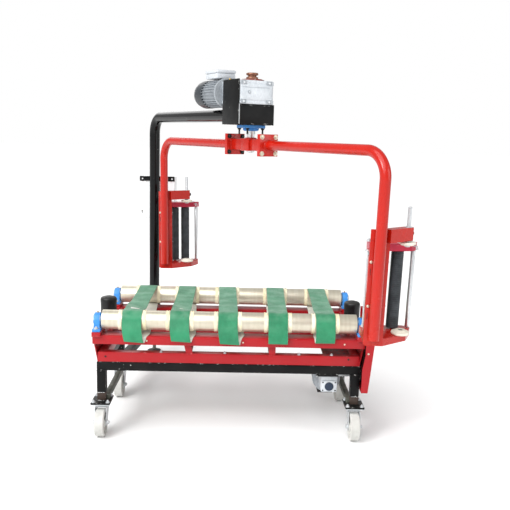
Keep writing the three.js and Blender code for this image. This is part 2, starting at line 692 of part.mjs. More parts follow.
function mastSolid() {
  const armX = mast.x * Math.cos(headTurn) + mast.y * Math.sin(headTurn);
  const armBack = -mast.x * Math.sin(headTurn) + mast.y * Math.cos(headTurn);
  const [endX, endY] = fromHead(armX, head.halfDepth - OVERRUN);
  const [cornerX, cornerY] = fromHead(armX, armBack);
  const path = bentPath(
    new THREE.Vector3(cornerX, cornerY, mast.footZ + GAP),
    new THREE.Vector3(cornerX, cornerY, mast.armZ),
    new THREE.Vector3(endX, endY, mast.armZ),
    mast.bendRadius,
  );
  const post = pipe(path, mast.radius, SEGMENTS);
  const barBottom = box.barTop - box.barHeight;
  const barY = mast.y + mast.radius - OVERRUN;
  const bar = cut(
    span(BOX_X - box.barLength / 2, BOX_X + box.barLength / 2, barY, barY + box.barThickness, barBottom,
      box.barTop),
    [-1, 1].map((side) => rodAlongY(box.holeRadius, barY - box.barHeight, barY + box.barHeight,
      BOX_X + side * (box.barLength / 2 - box.holeInset), (barBottom + box.barTop) / 2, 12)),
  );
  return joined([post, bar, headBracket().rotate([0, 0, head.turn])]);
}

// A steel box under the head gearbox, with a tall plate on its left side.
function headBracket() {
  const w = head.wall;
  const d = head.halfDepth;
  const shell = span(head.left, head.right, -d, d, head.boxBottom, head.boxTop);
  const hollow = span(head.left + w, head.right - w, -d + w, d - w, head.boxBottom + w, head.boxTop - w);
  const hatch = span(head.right - 2 * w, head.right + w, -d / 2, d / 2, head.boxBottom + 3 * w,
    head.boxTop - 3 * w);
  const shaftHole = rod(shaft.radius + RUNNING, head.boxBottom - w, head.boxTop + w, FINE);
  const plateRight = head.left - head.sideGap;
  const plate = span(plateRight - w, plateRight, -d, head.sideBack, head.boxBottom, head.sideTop);
  const weld = span(plateRight - OVERRUN, head.left + OVERRUN, -d / 2, head.sideBack - w,
    head.boxBottom + w,
    head.boxTop - w);
  return joined([cut(shell, [hollow, hatch, shaftHole]), plate, weld]);
}

add(machine, 'mast', mastSolid(), finish.black);

const headGroup = new THREE.Group();
headGroup.rotation.z = headTurn;
machine.add(headGroup);

function headGearbox() {
  const d = head.halfDepth;
  const flat = d - head.chamfer;
  const body = joined([
    prism([
      [head.left, -d], [head.right - head.chamfer, -d], [head.right, -flat], [head.right, flat],
      [head.right - head.chamfer, d], [head.left, d],
    ], GEAR_BOTTOM, head.gearTop),
    rod(head.topFlangeRadius, head.gearTop - OVERRUN, head.gearTop + head.topFlangeHeight, FINE),
    rodAlongY(head.plugRadius, -d - head.plugDepth, -d + OVERRUN, head.plugX, WORM_Z),
  ]);
  return body.subtract(rod(shaft.radius + RUNNING, GEAR_BOTTOM - OVERRUN, shaft.top + OVERRUN, FINE));
}

function headMotor() {
  const start = head.halfDepth + GAP;
  const parts = [
    rodAlongY(motor.flangeRadius, start, start + motor.flangeDepth, head.wormX, WORM_Z, FINE),
    rodAlongY(motor.radius, start, motor.bodyEnd, head.wormX, WORM_Z),
  ];
  for (let i = 0; i < motor.fins; i += 1) {
    const angle = (i / motor.fins) * 180;
    parts.push(span(-motor.finThickness / 2, motor.finThickness / 2,
      start + motor.flangeDepth + motor.finInset,
      motor.bodyEnd - motor.finInset, -motor.finRadius, motor.finRadius)
      .rotate([0, angle, 0]).translate([head.wormX, 0, WORM_Z]));
  }
  return joined(parts);
}

function motorCowl() {
  const start = motor.bodyEnd + GAP;
  const shell = rodAlongY(motor.finRadius, start, motor.cowlEnd, head.wormX, WORM_Z, FINE);
  const mouth = rodAlongY(motor.finRadius - motor.cowlWall, start - OVERRUN,
    motor.cowlEnd - motor.cowlWall,
    head.wormX, WORM_Z, FINE);
  return shell.subtract(mouth);
}

function terminalBox() {
  const bottom = WORM_Z + motor.finRadius + GAP;
  const y0 = motor.boxStart;
  const y1 = y0 + motor.boxY;
  const half = motor.boxX / 2;
  const lid = half + motor.lidReach;
  const lidBottom = bottom + motor.boxHeight * motor.lidShare;
  const glandZ = bottom + motor.boxHeight / 2;
  return joined([
    span(head.wormX - half, head.wormX + half, y0, y1, bottom, lidBottom + OVERRUN),
    span(head.wormX - lid, head.wormX + lid, y0 - motor.lidReach, y1 + motor.lidReach, lidBottom,
      bottom + motor.boxHeight),
    rodAlongY(motor.glandRadius, y1 - OVERRUN, y1 + motor.glandLength, head.wormX, glandZ),
  ]);
}

function flangeUnit() {
  const top = head.boxBottom - GAP;
  const half = flangeBearing.size / 2;
  const bottom = top - flangeBearing.thickness;
  const body = joined([
    span(-half, half, -half, half, bottom, top),
    rod(flangeBearing.bossRadius, bottom - flangeBearing.bossDepth, bottom + OVERRUN),
  ]);
  return body.subtract(rod(shaft.radius + RUNNING, bottom - 2 * half, top + half, FINE));
}

function outputShaft() {
  const nutBottom = head.gearTop + head.topFlangeHeight + RUNNING;
  const nutTop = nutBottom + shaft.nutHeight;
  return turned([
    [0, shaft.bottom], [shaft.radius, shaft.bottom], [shaft.radius, nutBottom],
    [shaft.nutRadius, nutBottom], [shaft.nutRadius, nutBottom + 8], [shaft.nutWaist, nutBottom + 11],
    [shaft.nutWaist, nutBottom + 15], [shaft.nutRadius, nutBottom + 18], [shaft.nutRadius, nutTop - 2],
    [shaft.nutRadius - 3, nutTop], [0, nutTop],
  ], FINE);
}

add(headGroup, 'head_gearbox', headGearbox(), finish.casting);
add(headGroup, 'head_motor', headMotor(), finish.motorGrey);
add(headGroup, 'head_motor_cowl', motorCowl(), finish.cowl);
add(headGroup, 'head_terminal_box', terminalBox(), finish.casting);
add(headGroup, 'head_flange_bearing', flangeUnit(), finish.blue);
add(machine, 'arm_shaft', outputShaft(), finish.bronze);

// ---------------------------------------------------------------- control box
function controlBox() {
  const back = mast.y + mast.radius - OVERRUN + box.barThickness + GAP;
  const x0 = BOX_X - box.width / 2;
  const shell = span(x0, x0 + box.width, back, back + box.depth, box.top - box.height, box.top);
  const hollow = span(x0 + box.sheet, x0 + box.width - box.sheet, back + box.sheet,
    back + box.depth + OVERRUN, box.top - box.height + box.sheet, box.top - box.sheet);
  return shell.subtract(hollow);
}

function boxDoor() {
  const back = mast.y + mast.radius - OVERRUN + box.barThickness + GAP + box.depth + RUNNING;
  const x0 = BOX_X - box.width / 2;
  const leaf = span(x0, x0 + box.width, back, back + box.doorThickness, box.top - box.height, box.top);
  const pan = span(x0 + box.sheet, x0 + box.width - box.sheet, back - OVERRUN,
    back + box.doorThickness - box.sheet, box.top - box.height + box.sheet, box.top - box.sheet);
  const face = back + box.doorThickness;
  const lock = rodAlongY(box.lockRadius, face - OVERRUN, face + box.lockReach,
    x0 + box.width - box.lockInset, box.top - box.height / 2, 12);
  return leaf.subtract(pan).add(lock);
}

add(machine, 'control_box', controlBox(), finish.cabinet);
add(machine, 'control_box_door', boxDoor(), finish.cabinet);

// ---------------------------------------------------------------- turning arms
const armTurn = THREE.MathUtils.degToRad(arm.azimuth);
const lean = THREE.MathUtils.degToRad(arm.lean);
const rotor = new THREE.Group();
rotor.rotation.z = -armTurn;
machine.add(rotor);

function rotorHub() {
  const half = hub.block / 2;
  const end = hub.reach - GAP / 2;
  const parts = [
    span(-half, half, -half, half, hub.z - hub.blockHeight / 2, hub.z + hub.blockHeight / 2),
    span(-end, end, -hub.tube / 2, hub.tube / 2, hub.z - hub.tube / 2, hub.z + hub.tube / 2),
  ];
  for (const side of [-1, 1]) {
    const outer = side * end;
    const inner = side * (end - hub.plateThickness);
    parts.push(span(Math.min(outer, inner), Math.max(outer, inner), -hub.plate / 2, hub.plate / 2,
      hub.z - hub.plate / 2, hub.z + hub.plate / 2));
  }
  return joined(parts).subtract(rod(shaft.radius + GAP, hub.z - hub.plate, hub.z + hub.plate, FINE));
}

// One arm, along +X: flange plate, level tube, bend, and a tube that leans in towards its foot.
function armSolid() {
  const start = hub.reach + GAP / 2;
  const drop = hub.z - arm.bottomZ;
  const corner = new THREE.Vector3(arm.radius, 0, hub.z);
  const foot = new THREE.Vector3(arm.radius - drop * Math.sin(lean), 0, hub.z - drop * Math.cos(lean));
  const tube = pipe(
    bentPath(new THREE.Vector3(start + OVERRUN, 0, hub.z), corner, foot, arm.bendRadius),
    arm.tube,
  );
  const plate = span(start, start + hub.plateThickness, -hub.plate / 2, hub.plate / 2,
    hub.z - hub.plate / 2, hub.z + hub.plate / 2);
  return tube.add(plate);
}

add(rotor, 'arm_hub', rotorHub(), finish.orange);

// ---------------------------------------------------------------- film dispensers
const S = film.spindle;

// Corners of the lower floor plate, from the arm plate out to the idler and back.
function floorCorners() {
  const front = arm.tube + GAP + OVERRUN;
  return [[film.plateLeft + film.floorInset, front], [film.plateRight, front], ...film.floorEdge];
}

// The outline drawn in towards its middle, far enough that a slanting side keeps the whole wall.
function inset(outline, wall) {
  const slant = 1.5;
  const count = outline.length;
  const middle = outline.reduce(([x, y], [cx, cy]) => [x + cx / count, y + cy / count], [0, 0]);
  return outline.map(([x, y]) => {
    const away = new THREE.Vector2(x - middle[0], y - middle[1]);
    away.setLength(away.length() - wall * slant);
    return [middle[0] + away.x, middle[1] + away.y];
  });
}

function dispenserFrame() {
  const plateY = arm.tube + GAP;
  const plate = span(film.plateLeft, film.plateRight, plateY, plateY + film.plateThickness,
    film.plateBottom,
    film.plateTop);
  const reach = Math.hypot(S[0], S[1]) + film.bracketEnd;
  const bracket = span(film.bracketStart, reach, -film.bracketWidth / 2, film.bracketWidth / 2,
    film.bracketTop - film.bracketHeight, film.bracketTop).rotate([0, 0, film.bracketTurn]);
  const floor = prism(floorCorners(), film.floorTop - film.floorThickness, film.floorTop);
  const inner = prism(inset(floorCorners(), film.skirt), film.floorTop - 2 * film.skirtHeight,
    film.floorTop - film.floorThickness);
  const skirt = prism(floorCorners(), film.floorTop - film.skirtHeight, film.floorTop);
  const pin = rodAt(S, film.lowerPinRadius, film.floorTop - OVERRUN,
    film.floorTop + film.lowerDiscHeight + film.lowerBossHeight);
  const tie = rodAt(film.tie, film.tieRadius, film.floorTop - OVERRUN, film.caseBottom - GAP, 12);
  const idlerBore = rodAt(film.idler, film.idlerPin + RUNNING, 0, film.floorTop + OVERRUN, 16);
  const rollerBores = [film.rollerA, film.rollerB].map((at) => (
    rodAt(at, film.rollerPin + RUNNING, 0, film.floorTop + OVERRUN, 16)
  ));
  const spindleBore = rodAt(S, film.spindleRadius + RUNNING, film.caseTop, film.spindleTop);
  const hangerZ = film.caseBottom + film.endPlay;
  const hanger = span(film.plateLeft + film.floorInset, film.plateRight - film.floorInset, plateY,
    film.hangerDepth, hangerZ, hangerZ + film.hangerThickness);
  const solid = joined([plate, bracket, cut(skirt.add(floor), [inner]), pin, tie, hanger]);
  return cut(solid, [idlerBore, ...rollerBores, spindleBore, knobBore(GAP), caseRoom()]);
}

// Room for the gear case, which bolts to the hanger with a hair's gap.
function caseRoom() {
  return prism(film.caseEdge.map(([x, y]) => [x, y - GAP]), film.caseBottom - GAP, film.caseTop + GAP);
}

function gearCase() {
  const shell = prism(film.caseEdge, film.caseBottom, film.caseTop);
  const hollow = prism(inset(film.caseEdge, film.caseWall), film.caseBottom - OVERRUN,
    film.caseTop - film.caseWall);
  const bores = [[film.rollerA, film.rollerPin], [film.rollerB, film.rollerPin], [film.idler,
    film.idlerPin]];
  return cut(shell, [hollow, ...bores.map(([at, radius]) => (
    rodAt(at, radius + RUNNING, film.caseBottom - OVERRUN, film.caseTop + OVERRUN, 16)
  ))]);
}

function stretchRoller() {
  const bottom = film.floorTop + film.endPlay;
  const top = film.caseBottom - film.endPlay;
  const gearTop = film.caseTop - film.caseWall - 2 * OVERRUN;
  const gearBottom = gearTop - film.gearHeight;
  return turned([
    [0, film.floorTop - film.floorThickness], [film.rollerPin, film.floorTop - film.floorThickness],
    [film.rollerPin, bottom], [film.rollerRadius, bottom], [film.rollerRadius, top], [film.rollerPin,
    top],
    [film.rollerPin, gearBottom], [film.gearRadius, gearBottom], [film.gearRadius, gearTop],
    [film.rollerPin, gearTop], [film.rollerPin, film.caseTop - OVERRUN], [0, film.caseTop - OVERRUN],
  ]);
}

function idlerRoller() {
  const bottom = film.floorTop + film.endPlay;
  const top = film.caseBottom - film.endPlay;
  return turned([
    [0, film.floorTop - film.floorThickness], [film.idlerPin, film.floorTop - film.floorThickness],
    [film.idlerPin, bottom], [film.idlerRadius, bottom], [film.idlerRadius, top], [film.idlerPin, top],
    [film.idlerPin, film.caseTop - OVERRUN], [0, film.caseTop - OVERRUN],
  ]);
}

function lowerDisc() {
  const bottom = film.floorTop + RUNNING;
  const flat = bottom + film.lowerDiscHeight;
  const bore = film.lowerPinRadius + RUNNING;
  return turned([
    [bore, bottom], [film.lowerDiscRadius - 4, bottom], [film.lowerDiscRadius, bottom + 5],
    [film.lowerDiscRadius - 3, flat], [film.lowerBossRadius, flat],
    [film.lowerBossRadius - 6, flat + film.lowerBossHeight], [bore, flat + film.lowerBossHeight],
    [bore, bottom],
  ]);
}

function upperSpindle() {
  const seat = film.discBottom + film.discHeight + RUNNING;
  return turned([
    [0, film.spindleBottom - 4], [film.spindleRadius + film.collarReach, film.spindleBottom - 4],
    [film.spindleRadius + film.collarReach, film.discBottom - RUNNING], [film.spindleRadius,
    film.discBottom - RUNNING],
    [film.spindleRadius, seat], [film.spindleRadius + film.collarReach, seat],
    [film.spindleRadius + film.collarReach, seat + 3],
    [film.spindleRadius, seat + 3], [film.spindleRadius, film.spindleTop], [0, film.spindleTop],
  ], 16);
}

function upperDisc() {
  const top = film.discBottom + film.discHeight;
  const bore = film.spindleRadius + RUNNING;
  return turned([
    [bore, film.discBottom], [film.discRadius * 0.7, film.discBottom], [film.discRadius,
    film.discBottom + 7],
    [film.discRadius - 2, top], [bore, top], [bore, film.discBottom],
  ]);
}

// Places a turned solid on the bracket's end, pointing back at the spindle.
function onBracketEnd(solid) {
  const reach = Math.hypot(S[0], S[1]);
  return solid.rotate([0, 90, 0]).translate([reach, 0, film.bracketTop - film.knobDrop])
    .rotate([0, 0, film.bracketTurn]);
}

function knobBore(clearance) {
  return onBracketEnd(rod(film.knobScrew + clearance, film.spindleRadius - OVERRUN,
    film.bracketEnd + OVERRUN, 12));
}

function lockKnob() {
  const face = film.bracketEnd + RUNNING;
  return onBracketEnd(turned([
    [0, film.spindleRadius + RUNNING + 1], [film.knobScrew, film.spindleRadius + RUNNING + 1],
    [film.knobScrew, face], [film.knobRadius, face], [film.knobRadius, face + film.knobLength],
    [0, face + film.knobLength],
  ], 12));
}

for (const [place, turn] of [['right', 0], ['left', Math.PI]]) {
  const side = new THREE.Group();
  side.rotation.z = turn;
  rotor.add(side);
  add(side, `arm_tube_${place}`, armSolid(), finish.orange);

  const corner = new THREE.Group(); // tilts with the arm tube, at its bend's corner
  corner.position.set(arm.radius, 0, hub.z);
  corner.rotation.y = lean;
  side.add(corner);
  const unit = new THREE.Group(); // stands square to the table, whichever arm it hangs on
  unit.rotation.z = armTurn - turn;
  corner.add(unit);
  const hang = new THREE.Group();
  hang.position.z = -hub.z;
  unit.add(hang);
  add(hang, `film_frame_${place}`, dispenserFrame(), finish.orange);
  add(hang, `gear_case_${place}`, gearCase(), finish.crimson);
  for (const [letter, [x, y]] of [['a', film.rollerA], ['b', film.rollerB]]) {
    add(hang, `stretch_roller_${letter}_${place}`, stretchRoller().translate([x, y, 0]), finish.rubber);
  }
  add(hang, `idler_roller_${place}`, idlerRoller().translate([film.idler[0], film.idler[1], 0]),
    finish.zinc);
  add(hang, `lower_disc_${place}`, lowerDisc().translate([S[0], S[1], 0]), finish.nylon);
  add(hang, `upper_spindle_${place}`, upperSpindle().translate([S[0], S[1], 0]), finish.zinc);
  add(hang, `upper_disc_${place}`, upperDisc().translate([S[0], S[1], 0]), finish.nylon);
  add(hang, `lock_knob_${place}`, lockKnob(), finish.zinc);
}

export default machine;
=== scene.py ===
"""Looks of a round-bale wrapping machine, built piece by piece over its CAD frame.

Two belt-linked rollers turn a bale on a wheeled table; a twin arm hung from a mast carries two
stretch-film dispensers round it. Everything is in metres, in the frame's own axes.
"""
import json
import logging
import math
from dataclasses import dataclass, field
from enum import Enum

import bmesh
import bpy
from mathutils import Matrix, Vector

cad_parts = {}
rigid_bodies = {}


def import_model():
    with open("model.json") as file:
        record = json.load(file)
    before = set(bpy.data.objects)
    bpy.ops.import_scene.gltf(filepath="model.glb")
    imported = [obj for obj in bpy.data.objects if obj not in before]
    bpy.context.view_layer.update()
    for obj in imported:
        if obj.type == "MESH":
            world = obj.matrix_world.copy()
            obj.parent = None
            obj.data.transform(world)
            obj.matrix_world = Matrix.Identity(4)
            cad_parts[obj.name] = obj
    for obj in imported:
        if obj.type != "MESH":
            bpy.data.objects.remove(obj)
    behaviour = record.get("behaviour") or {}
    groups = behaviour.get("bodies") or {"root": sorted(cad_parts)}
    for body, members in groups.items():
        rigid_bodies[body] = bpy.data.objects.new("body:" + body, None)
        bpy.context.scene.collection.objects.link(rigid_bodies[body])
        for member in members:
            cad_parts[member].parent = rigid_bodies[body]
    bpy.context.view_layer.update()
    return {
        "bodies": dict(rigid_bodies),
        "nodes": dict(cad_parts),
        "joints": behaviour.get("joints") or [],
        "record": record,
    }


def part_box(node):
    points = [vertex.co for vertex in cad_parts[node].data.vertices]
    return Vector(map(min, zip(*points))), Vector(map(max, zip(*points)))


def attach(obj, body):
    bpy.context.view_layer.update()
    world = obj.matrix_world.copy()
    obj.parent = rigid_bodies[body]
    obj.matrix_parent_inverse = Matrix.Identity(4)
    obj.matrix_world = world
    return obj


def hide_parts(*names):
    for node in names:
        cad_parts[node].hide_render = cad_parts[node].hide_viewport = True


LOG = logging.getLogger("wrapper")
GAP = 0.0003
SMOOTH_ANGLE = math.radians(38)
ROOT = "machine_base"
ARM = "wrap_arm"
SIDES = ("left", "right")
DUST_COLOUR = "cfc9c0"
# pale green that the belts take on up-facing faces: partly dust, partly painted light from above
BELT_DUST_AND_TOPLIGHT_COLOUR = "cfd6cc"
BELT_DUST_AND_TOPLIGHT = 0.14
PAINT_MOTTLE, BELT_MOTTLE = 6.0, 9.0
PEEL_SCALE, CAST_SCALE = 420.0, 300.0
COAT_ROUGHNESS = 0.12
SHEET = 0.002
QUARTERS = ((-1, -1), (-1, 1), (1, -1), (1, 1))
X_AXIS, Y_AXIS, Z_AXIS = Vector((1, 0, 0)), Vector((0, 1, 0)), Vector((0, 0, 1))

Point = tuple[float, float, float]
Flat = tuple[float, float]


# ------------------------------------------------------------------ mesh building
def linear(code: str) -> tuple[float, float, float, float]:
    """Turns a display colour code into the linear colour that shaders use.

    Args:
        code: six hexadecimal digits.

    Returns:
        Red, green, blue and an alpha of one.
    """
    parts = [int(code[i:i + 2], 16) / 255 for i in (0, 2, 4)]
    low = [c / 12.92 if c <= 0.04045 else ((c + 0.055) / 1.055) ** 2.4 for c in parts]
    return (low[0], low[1], low[2], 1.0)


def turned(start: Vector, end: Vector) -> Matrix:
    """Gives the turn that takes one direction to another.

    Args:
        start: the first direction.
        end: the second direction.

    Returns:
        The turn.
    """
    return start.rotation_difference(end).to_matrix().to_4x4()


def eased(points: list[Flat], radius: float) -> list[Flat]:
    """Rounds the inner corners of an open outline.

    Args:
        points: the outline's corners.
        radius: how far from each corner the rounding starts.

    Returns:
        The outline with three points in place of each inner corner.
    """
    out = [points[0]]
    for before, at, after in zip(points, points[1:], points[2:]):
        corner = Vector(at)
        back, ahead = Vector(before) - corner, Vector(after) - corner
        reach = min(radius, back.length * 0.45, ahead.length * 0.45)
        if reach < 1e-6:
            out.append(at)
            continue
        start, end = corner + back.normalized() * reach, corner + ahead.normalized() * reach
        middle = (start + end) / 2 * 0.6 + corner * 0.4
        out += [tuple(start), tuple(middle), tuple(end)]
    return out + [points[-1]]


def bend(start: Vector, corner: Vector, end: Vector, radius: float, steps: int = 14) -> list[Vector]:
    """A path that runs straight, bends once and runs straight again.

    Args:
        start: first point.
        corner: where the two straight runs would meet.
        end: last point.
        radius: radius of the bend.
        steps: number of pieces in the bend.

    Returns:
        The points of the path.
    """
    back, ahead = (start - corner).normalized(), (end - corner).normalized()
    half = back.angle(ahead) / 2
    setback = radius / math.tan(half)
    centre = corner + (back + ahead).normalized() * radius / math.sin(half)
    first = corner + back * setback - centre
    last = corner + ahead * setback - centre
    turn = first.angle(last)
    path = [start]
    for k in range(steps + 1):
        share = k / steps
        spread = first * math.sin((1 - share) * turn) + last * math.sin(share * turn)
        path.append(centre + spread / math.sin(turn))
    return path + [end]


def circle(radius: float, steps: int = 24) -> list[Flat]:
    """Gives points round a circle, such as for a weld bead.

    Args:
        radius: its radius.
        steps: number of points.

    Returns:
        The points.
    """
    angles = [k * 2 * math.pi / steps for k in range(steps)]
    return [(radius * math.cos(a), radius * math.sin(a)) for a in angles]


def new_object(name: str, data: bpy.types.ID) -> bpy.types.Object:
    """Puts a mesh, a light or a camera in the scene.

    Args:
        name: the object's name.
        data: its mesh, light or camera.

    Returns:
        The object.
    """
    made = bpy.data.objects.new(name, data)
    bpy.context.scene.collection.objects.link(made)
    return made


def toothed(teeth: int, root: float, tip: float) -> list[Flat]:
    """Gives a chain sprocket's outline.

    Args:
        teeth: number of teeth.
        root: radius between the teeth.
        tip: radius at the teeth.

    Returns:
        Its corners.
    """
    outline = []
    for k in range(teeth):
        for radius, share in ((root, 0), (tip, 0.3), (tip, 0.5), (root, 0.8)):
            angle = (k + share) / teeth * 2 * math.pi
            outline.append((radius * math.cos(angle), radius * math.sin(angle)))
    return outline


class Solid:
    """A mesh under construction; every call adds one closed form to it."""

    def __init__(self, place: Matrix | None = None) -> None:
        """Starts an empty mesh.

        Args:
            place: moves everything that is added, such as into a leaning dispenser's own axes.
        """
        self.bm = bmesh.new()
        self.place = place or Matrix.Identity(4)

    def take(self, part: bmesh.types.BMesh, slot: int | None, matrix: Matrix | None = None) -> None:
        """Adds a finished form to the mesh.

        Args:
            part: the form, which is used up.
            slot: its material slot, or None where its faces have theirs already.
            matrix: where it goes before the whole mesh's own placing.
        """
        bmesh.ops.recalc_face_normals(part, faces=part.faces)
        moved = self.place @ matrix if matrix else self.place
        bmesh.ops.transform(part, matrix=moved, verts=part.verts)
        for face in part.faces:
            if slot is not None:
                face.material_index = slot
            face.smooth = True
        mesh = bpy.data.meshes.new("form")
        part.to_mesh(mesh)
        part.free()
        self.bm.from_mesh(mesh)
        bpy.data.meshes.remove(mesh)

    def box(self, low: Point, high: Point, ease: float = 0.0015, slot: int = 0,
            turn: Matrix | None = None) -> "Solid":
        """Adds a block with eased edges.

        Args:
            low: its lowest corner.
            high: its highest corner.
            ease: how far its edges are rounded.
            slot: its material slot.
            turn: moves the block after it is made.

        Returns:
            This mesh.
        """
        size = Vector(high) - Vector(low)
        part = bmesh.new()
        bmesh.ops.create_cube(part, size=1)
        bmesh.ops.scale(part, vec=size, verts=part.verts)
        bmesh.ops.translate(part, vec=(Vector(low) + Vector(high)) / 2, verts=part.verts)
        offset = min(ease, 0.45 * min(size))
        bmesh.ops.bevel(part, geom=part.edges[:], offset=offset, segments=2, profile=0.6, affect="EDGES")
        self.take(part, slot, turn)
        return self

    def lathe(self, outline: list[Flat], at: Point, axis: Vector = Z_AXIS, segments: int = 32,
              slot: int = 0, spin: float = 0.0) -> "Solid":
        """Adds a turned form.

        Args:
            outline: (radius, height) points; one that starts on the axis ends on it, and any other closes
                into a ring.
            at: where height zero is on the axis.
            axis: direction of the axis.
            segments: facets round the axis.
            slot: its material slot.
            spin: turn about the axis, in radians.

        Returns:
            This mesh.
        """
        part = bmesh.new()
        rings = []
        for radius, height in outline:
            if radius < 1e-6:
                rings.append([part.verts.new((0, 0, height))])
                continue
            angles = [spin + 2 * math.pi * k / segments for k in range(segments)]
            rings.append([part.verts.new((radius * math.cos(a), radius * math.sin(a),
                                          height)) for a in angles])
        pairs = list(zip(rings, rings[1:]))
        if len(rings[0]) > 1:
            pairs.append((rings[-1], rings[0]))
        for lower, upper in pairs:
            for k in range(segments):
                following = (k + 1) % segments
                corners = [lower[k % len(lower)], lower[following % len(lower)],
                           upper[following % len(upper)], upper[k % len(upper)]]
                unique = list(dict.fromkeys(corners))
                if len(unique) > 2:
                    part.faces.new(unique)
        self.take(part, slot, Matrix.Translation(at) @ turned(Z_AXIS, Vector(axis)))
        return self

    def disc(self, radius: float, height: float, at: Point, axis: Vector, segments: int = 20,
             slot: int = 0) -> "Solid":
        """Adds a plain low disc.

        Args:
            radius: its radius.
            height: its height.
            at: middle of its lower face.
            axis: direction of its height.
            segments: facets round it.
            slot: its material slot.

        Returns:
            This mesh.
        """
        return self.lathe([(0, 0), (radius, 0), (radius, height), (0, height)], at, axis, segments, slot)

    def rod(self, radius: float, start: Point, end: Point, ease: float = 0.001, segments: int = 28,
            slot: int = 0) -> "Solid":
        """Adds a round bar between two points.

        Args:
            radius: its radius.
            start: middle of one end.
            end: middle of the other end.
            ease: rounding of its ends.
            segments: facets round it.
            slot: its material slot.

        Returns:
            This mesh.
        """
        run = Vector(end) - Vector(start)
        outline = eased([(0, 0), (radius, 0), (radius, run.length), (0, run.length)], ease)
        return self.lathe(outline, start, run.normalized(), segments, slot)

    def ring(self, inner: float, outer: float, at: Point, axis: Vector, height: float, slot: int = 0,
             segments: int = 28) -> "Solid":
        """Adds a flat ring, such as a washer or collar.

        Args:
            inner: radius of its hole.
            outer: its outer radius.
            at: middle of its lower face.
            axis: direction of its height.
            height: its height.
            slot: its material slot.
            segments: facets round it.

        Returns:
            This mesh.
        """
        ease = min(height, outer - inner) * 0.25
        outline = [(inner, 0), (outer - ease, 0), (outer, ease), (outer, height - ease),
                   (outer - ease, height), (inner, height)]
        return self.lathe(outline, at, axis, segments, slot)

    def plate(self, outline: list[Flat], origin: Point, across: Vector, up: Vector, thickness: float,
              ease: float = 0.001, slot: int = 0) -> "Solid":
        """Adds a flat plate of any outline.

        Args:
            outline: its corners, measured along across and up.
            origin: where the outline's zero is.
            across: direction of the outline's first number.
            up: direction of the outline's second number.
            thickness: thickness, towards across x up.
            ease: rounding of its edges.
            slot: its material slot.

        Returns:
            This mesh.
        """
        part = bmesh.new()
        normal = across.cross(up).normalized() * thickness
        foot = [Vector(origin) + across * a + up * b for a, b in outline]
        lower = [part.verts.new(p) for p in foot]
        upper = [part.verts.new(p + normal) for p in foot]
        part.faces.new(lower)
        part.faces.new(list(reversed(upper)))
        for k in range(len(lower)):
            after = (k + 1) % len(lower)
            part.faces.new((lower[k], upper[k], upper[after], lower[after]))
        if ease:
            bmesh.ops.bevel(part, geom=part.edges[:], offset=min(ease, thickness * 0.4), segments=2,
                            profile=0.6, affect="EDGES")
        self.take(part, slot)
        return self

    def tube(self, points: list[Vector], radius: float, segments: int = 20, slot: int = 0,
             ripple: float = 0.0, closed: bool = False) -> "Solid":
        """Adds a round bar along a path.

        Args:
            points: the path.
            radius: the bar's radius.
            segments: facets round it.
            slot: its material slot.
            ripple: share by which the radius swells at every other point, as in a weld bead.
            closed: whether the path runs back to its start.

        Returns:
            This mesh.
        """
        part = bmesh.new()
        path = [Vector(p) for p in points]
        count = len(path)
        side = None
        rings = []
        for k, point in enumerate(path):
            after = path[(k + 1) % count] if closed or k < count - 1 else point
            before = path[k - 1] if closed or k else point
            run = (after - before).normalized()
            if side is None:
                side = run.orthogonal().normalized()
            side = (side - run * side.dot(run)).normalized()
            other = run.cross(side)
            grown = radius * (1 + (ripple if k % 2 else -ripple))
            rings.append([
                part.verts.new(point + (side * math.cos(a) + other * math.sin(a)) * grown)
                for a in (2 * math.pi * j / segments for j in range(segments))
            ])
        pairs = list(zip(rings, rings[1:])) + ([(rings[-1], rings[0])] if closed else [])
        for lower, upper in pairs:
            for j in range(segments):
                after = (j + 1) % segments
                part.faces.new((lower[j], lower[after], upper[after], upper[j]))
        if not closed:
            part.faces.new(list(reversed(rings[0])))
            part.faces.new(rings[-1])
        self.take(part, slot)
        return self

    def weld(self, points: list[Point], radius: float = 0.0022, slot: int = 0,
             closed: bool = False) -> "Solid":
        """Adds a rippled weld bead along a path.

        Args:
            points: corners of the path.
            radius: the bead's radius.
            slot: its material slot.
            closed: whether the path runs back to its start.

        Returns:
            This mesh.
        """
        corners = [Vector(p) for p in points] + ([Vector(points[0])] if closed else [])
        path = []
        for start, end in zip(corners, corners[1:]):
            steps = max(2, int((end - start).length / 0.003))
            path += [start.lerp(end, k / steps) for k in range(steps)]
        if not closed:
            path.append(corners[-1])
        return self.tube(path, radius, 8, slot, ripple=0.12, closed=closed)

    def bolt(self, at: Point, axis: Vector, across: float = 0.010, slot: int = 0, washer: bool = True,
             stub: float = 0.0) -> "Solid":
        """Adds a hexagon head or nut on its washer.

        Args:
            at: point on the clamped face.
            axis: direction out of the face.
            across: radius of the hexagon's corners.
            slot: its material slot.
            washer: whether there is a washer under it.
            stub: length of thread showing beyond the nut.

        Returns:
            This mesh.
        """
        axis = Vector(axis)
        start = Vector(at)
        if washer:
            self.lathe([(0, 0), (across * 1.25, 0), (across * 1.3, across * 0.08),
                        (across * 1.25, across * 0.2), (0, across * 0.2)], start, axis, 20, slot)
            start = start + axis * across * 0.2
        height = across * 0.72
        self.lathe([(0, 0), (across, 0), (across, height * 0.85), (across * 0.86, height), (0, height)],
                   start, axis, 6, slot, spin=0.3)
        if stub:
            self.rod(across * 0.5, start, start + axis * (height + stub), 0.0005, 12, slot)
        return self


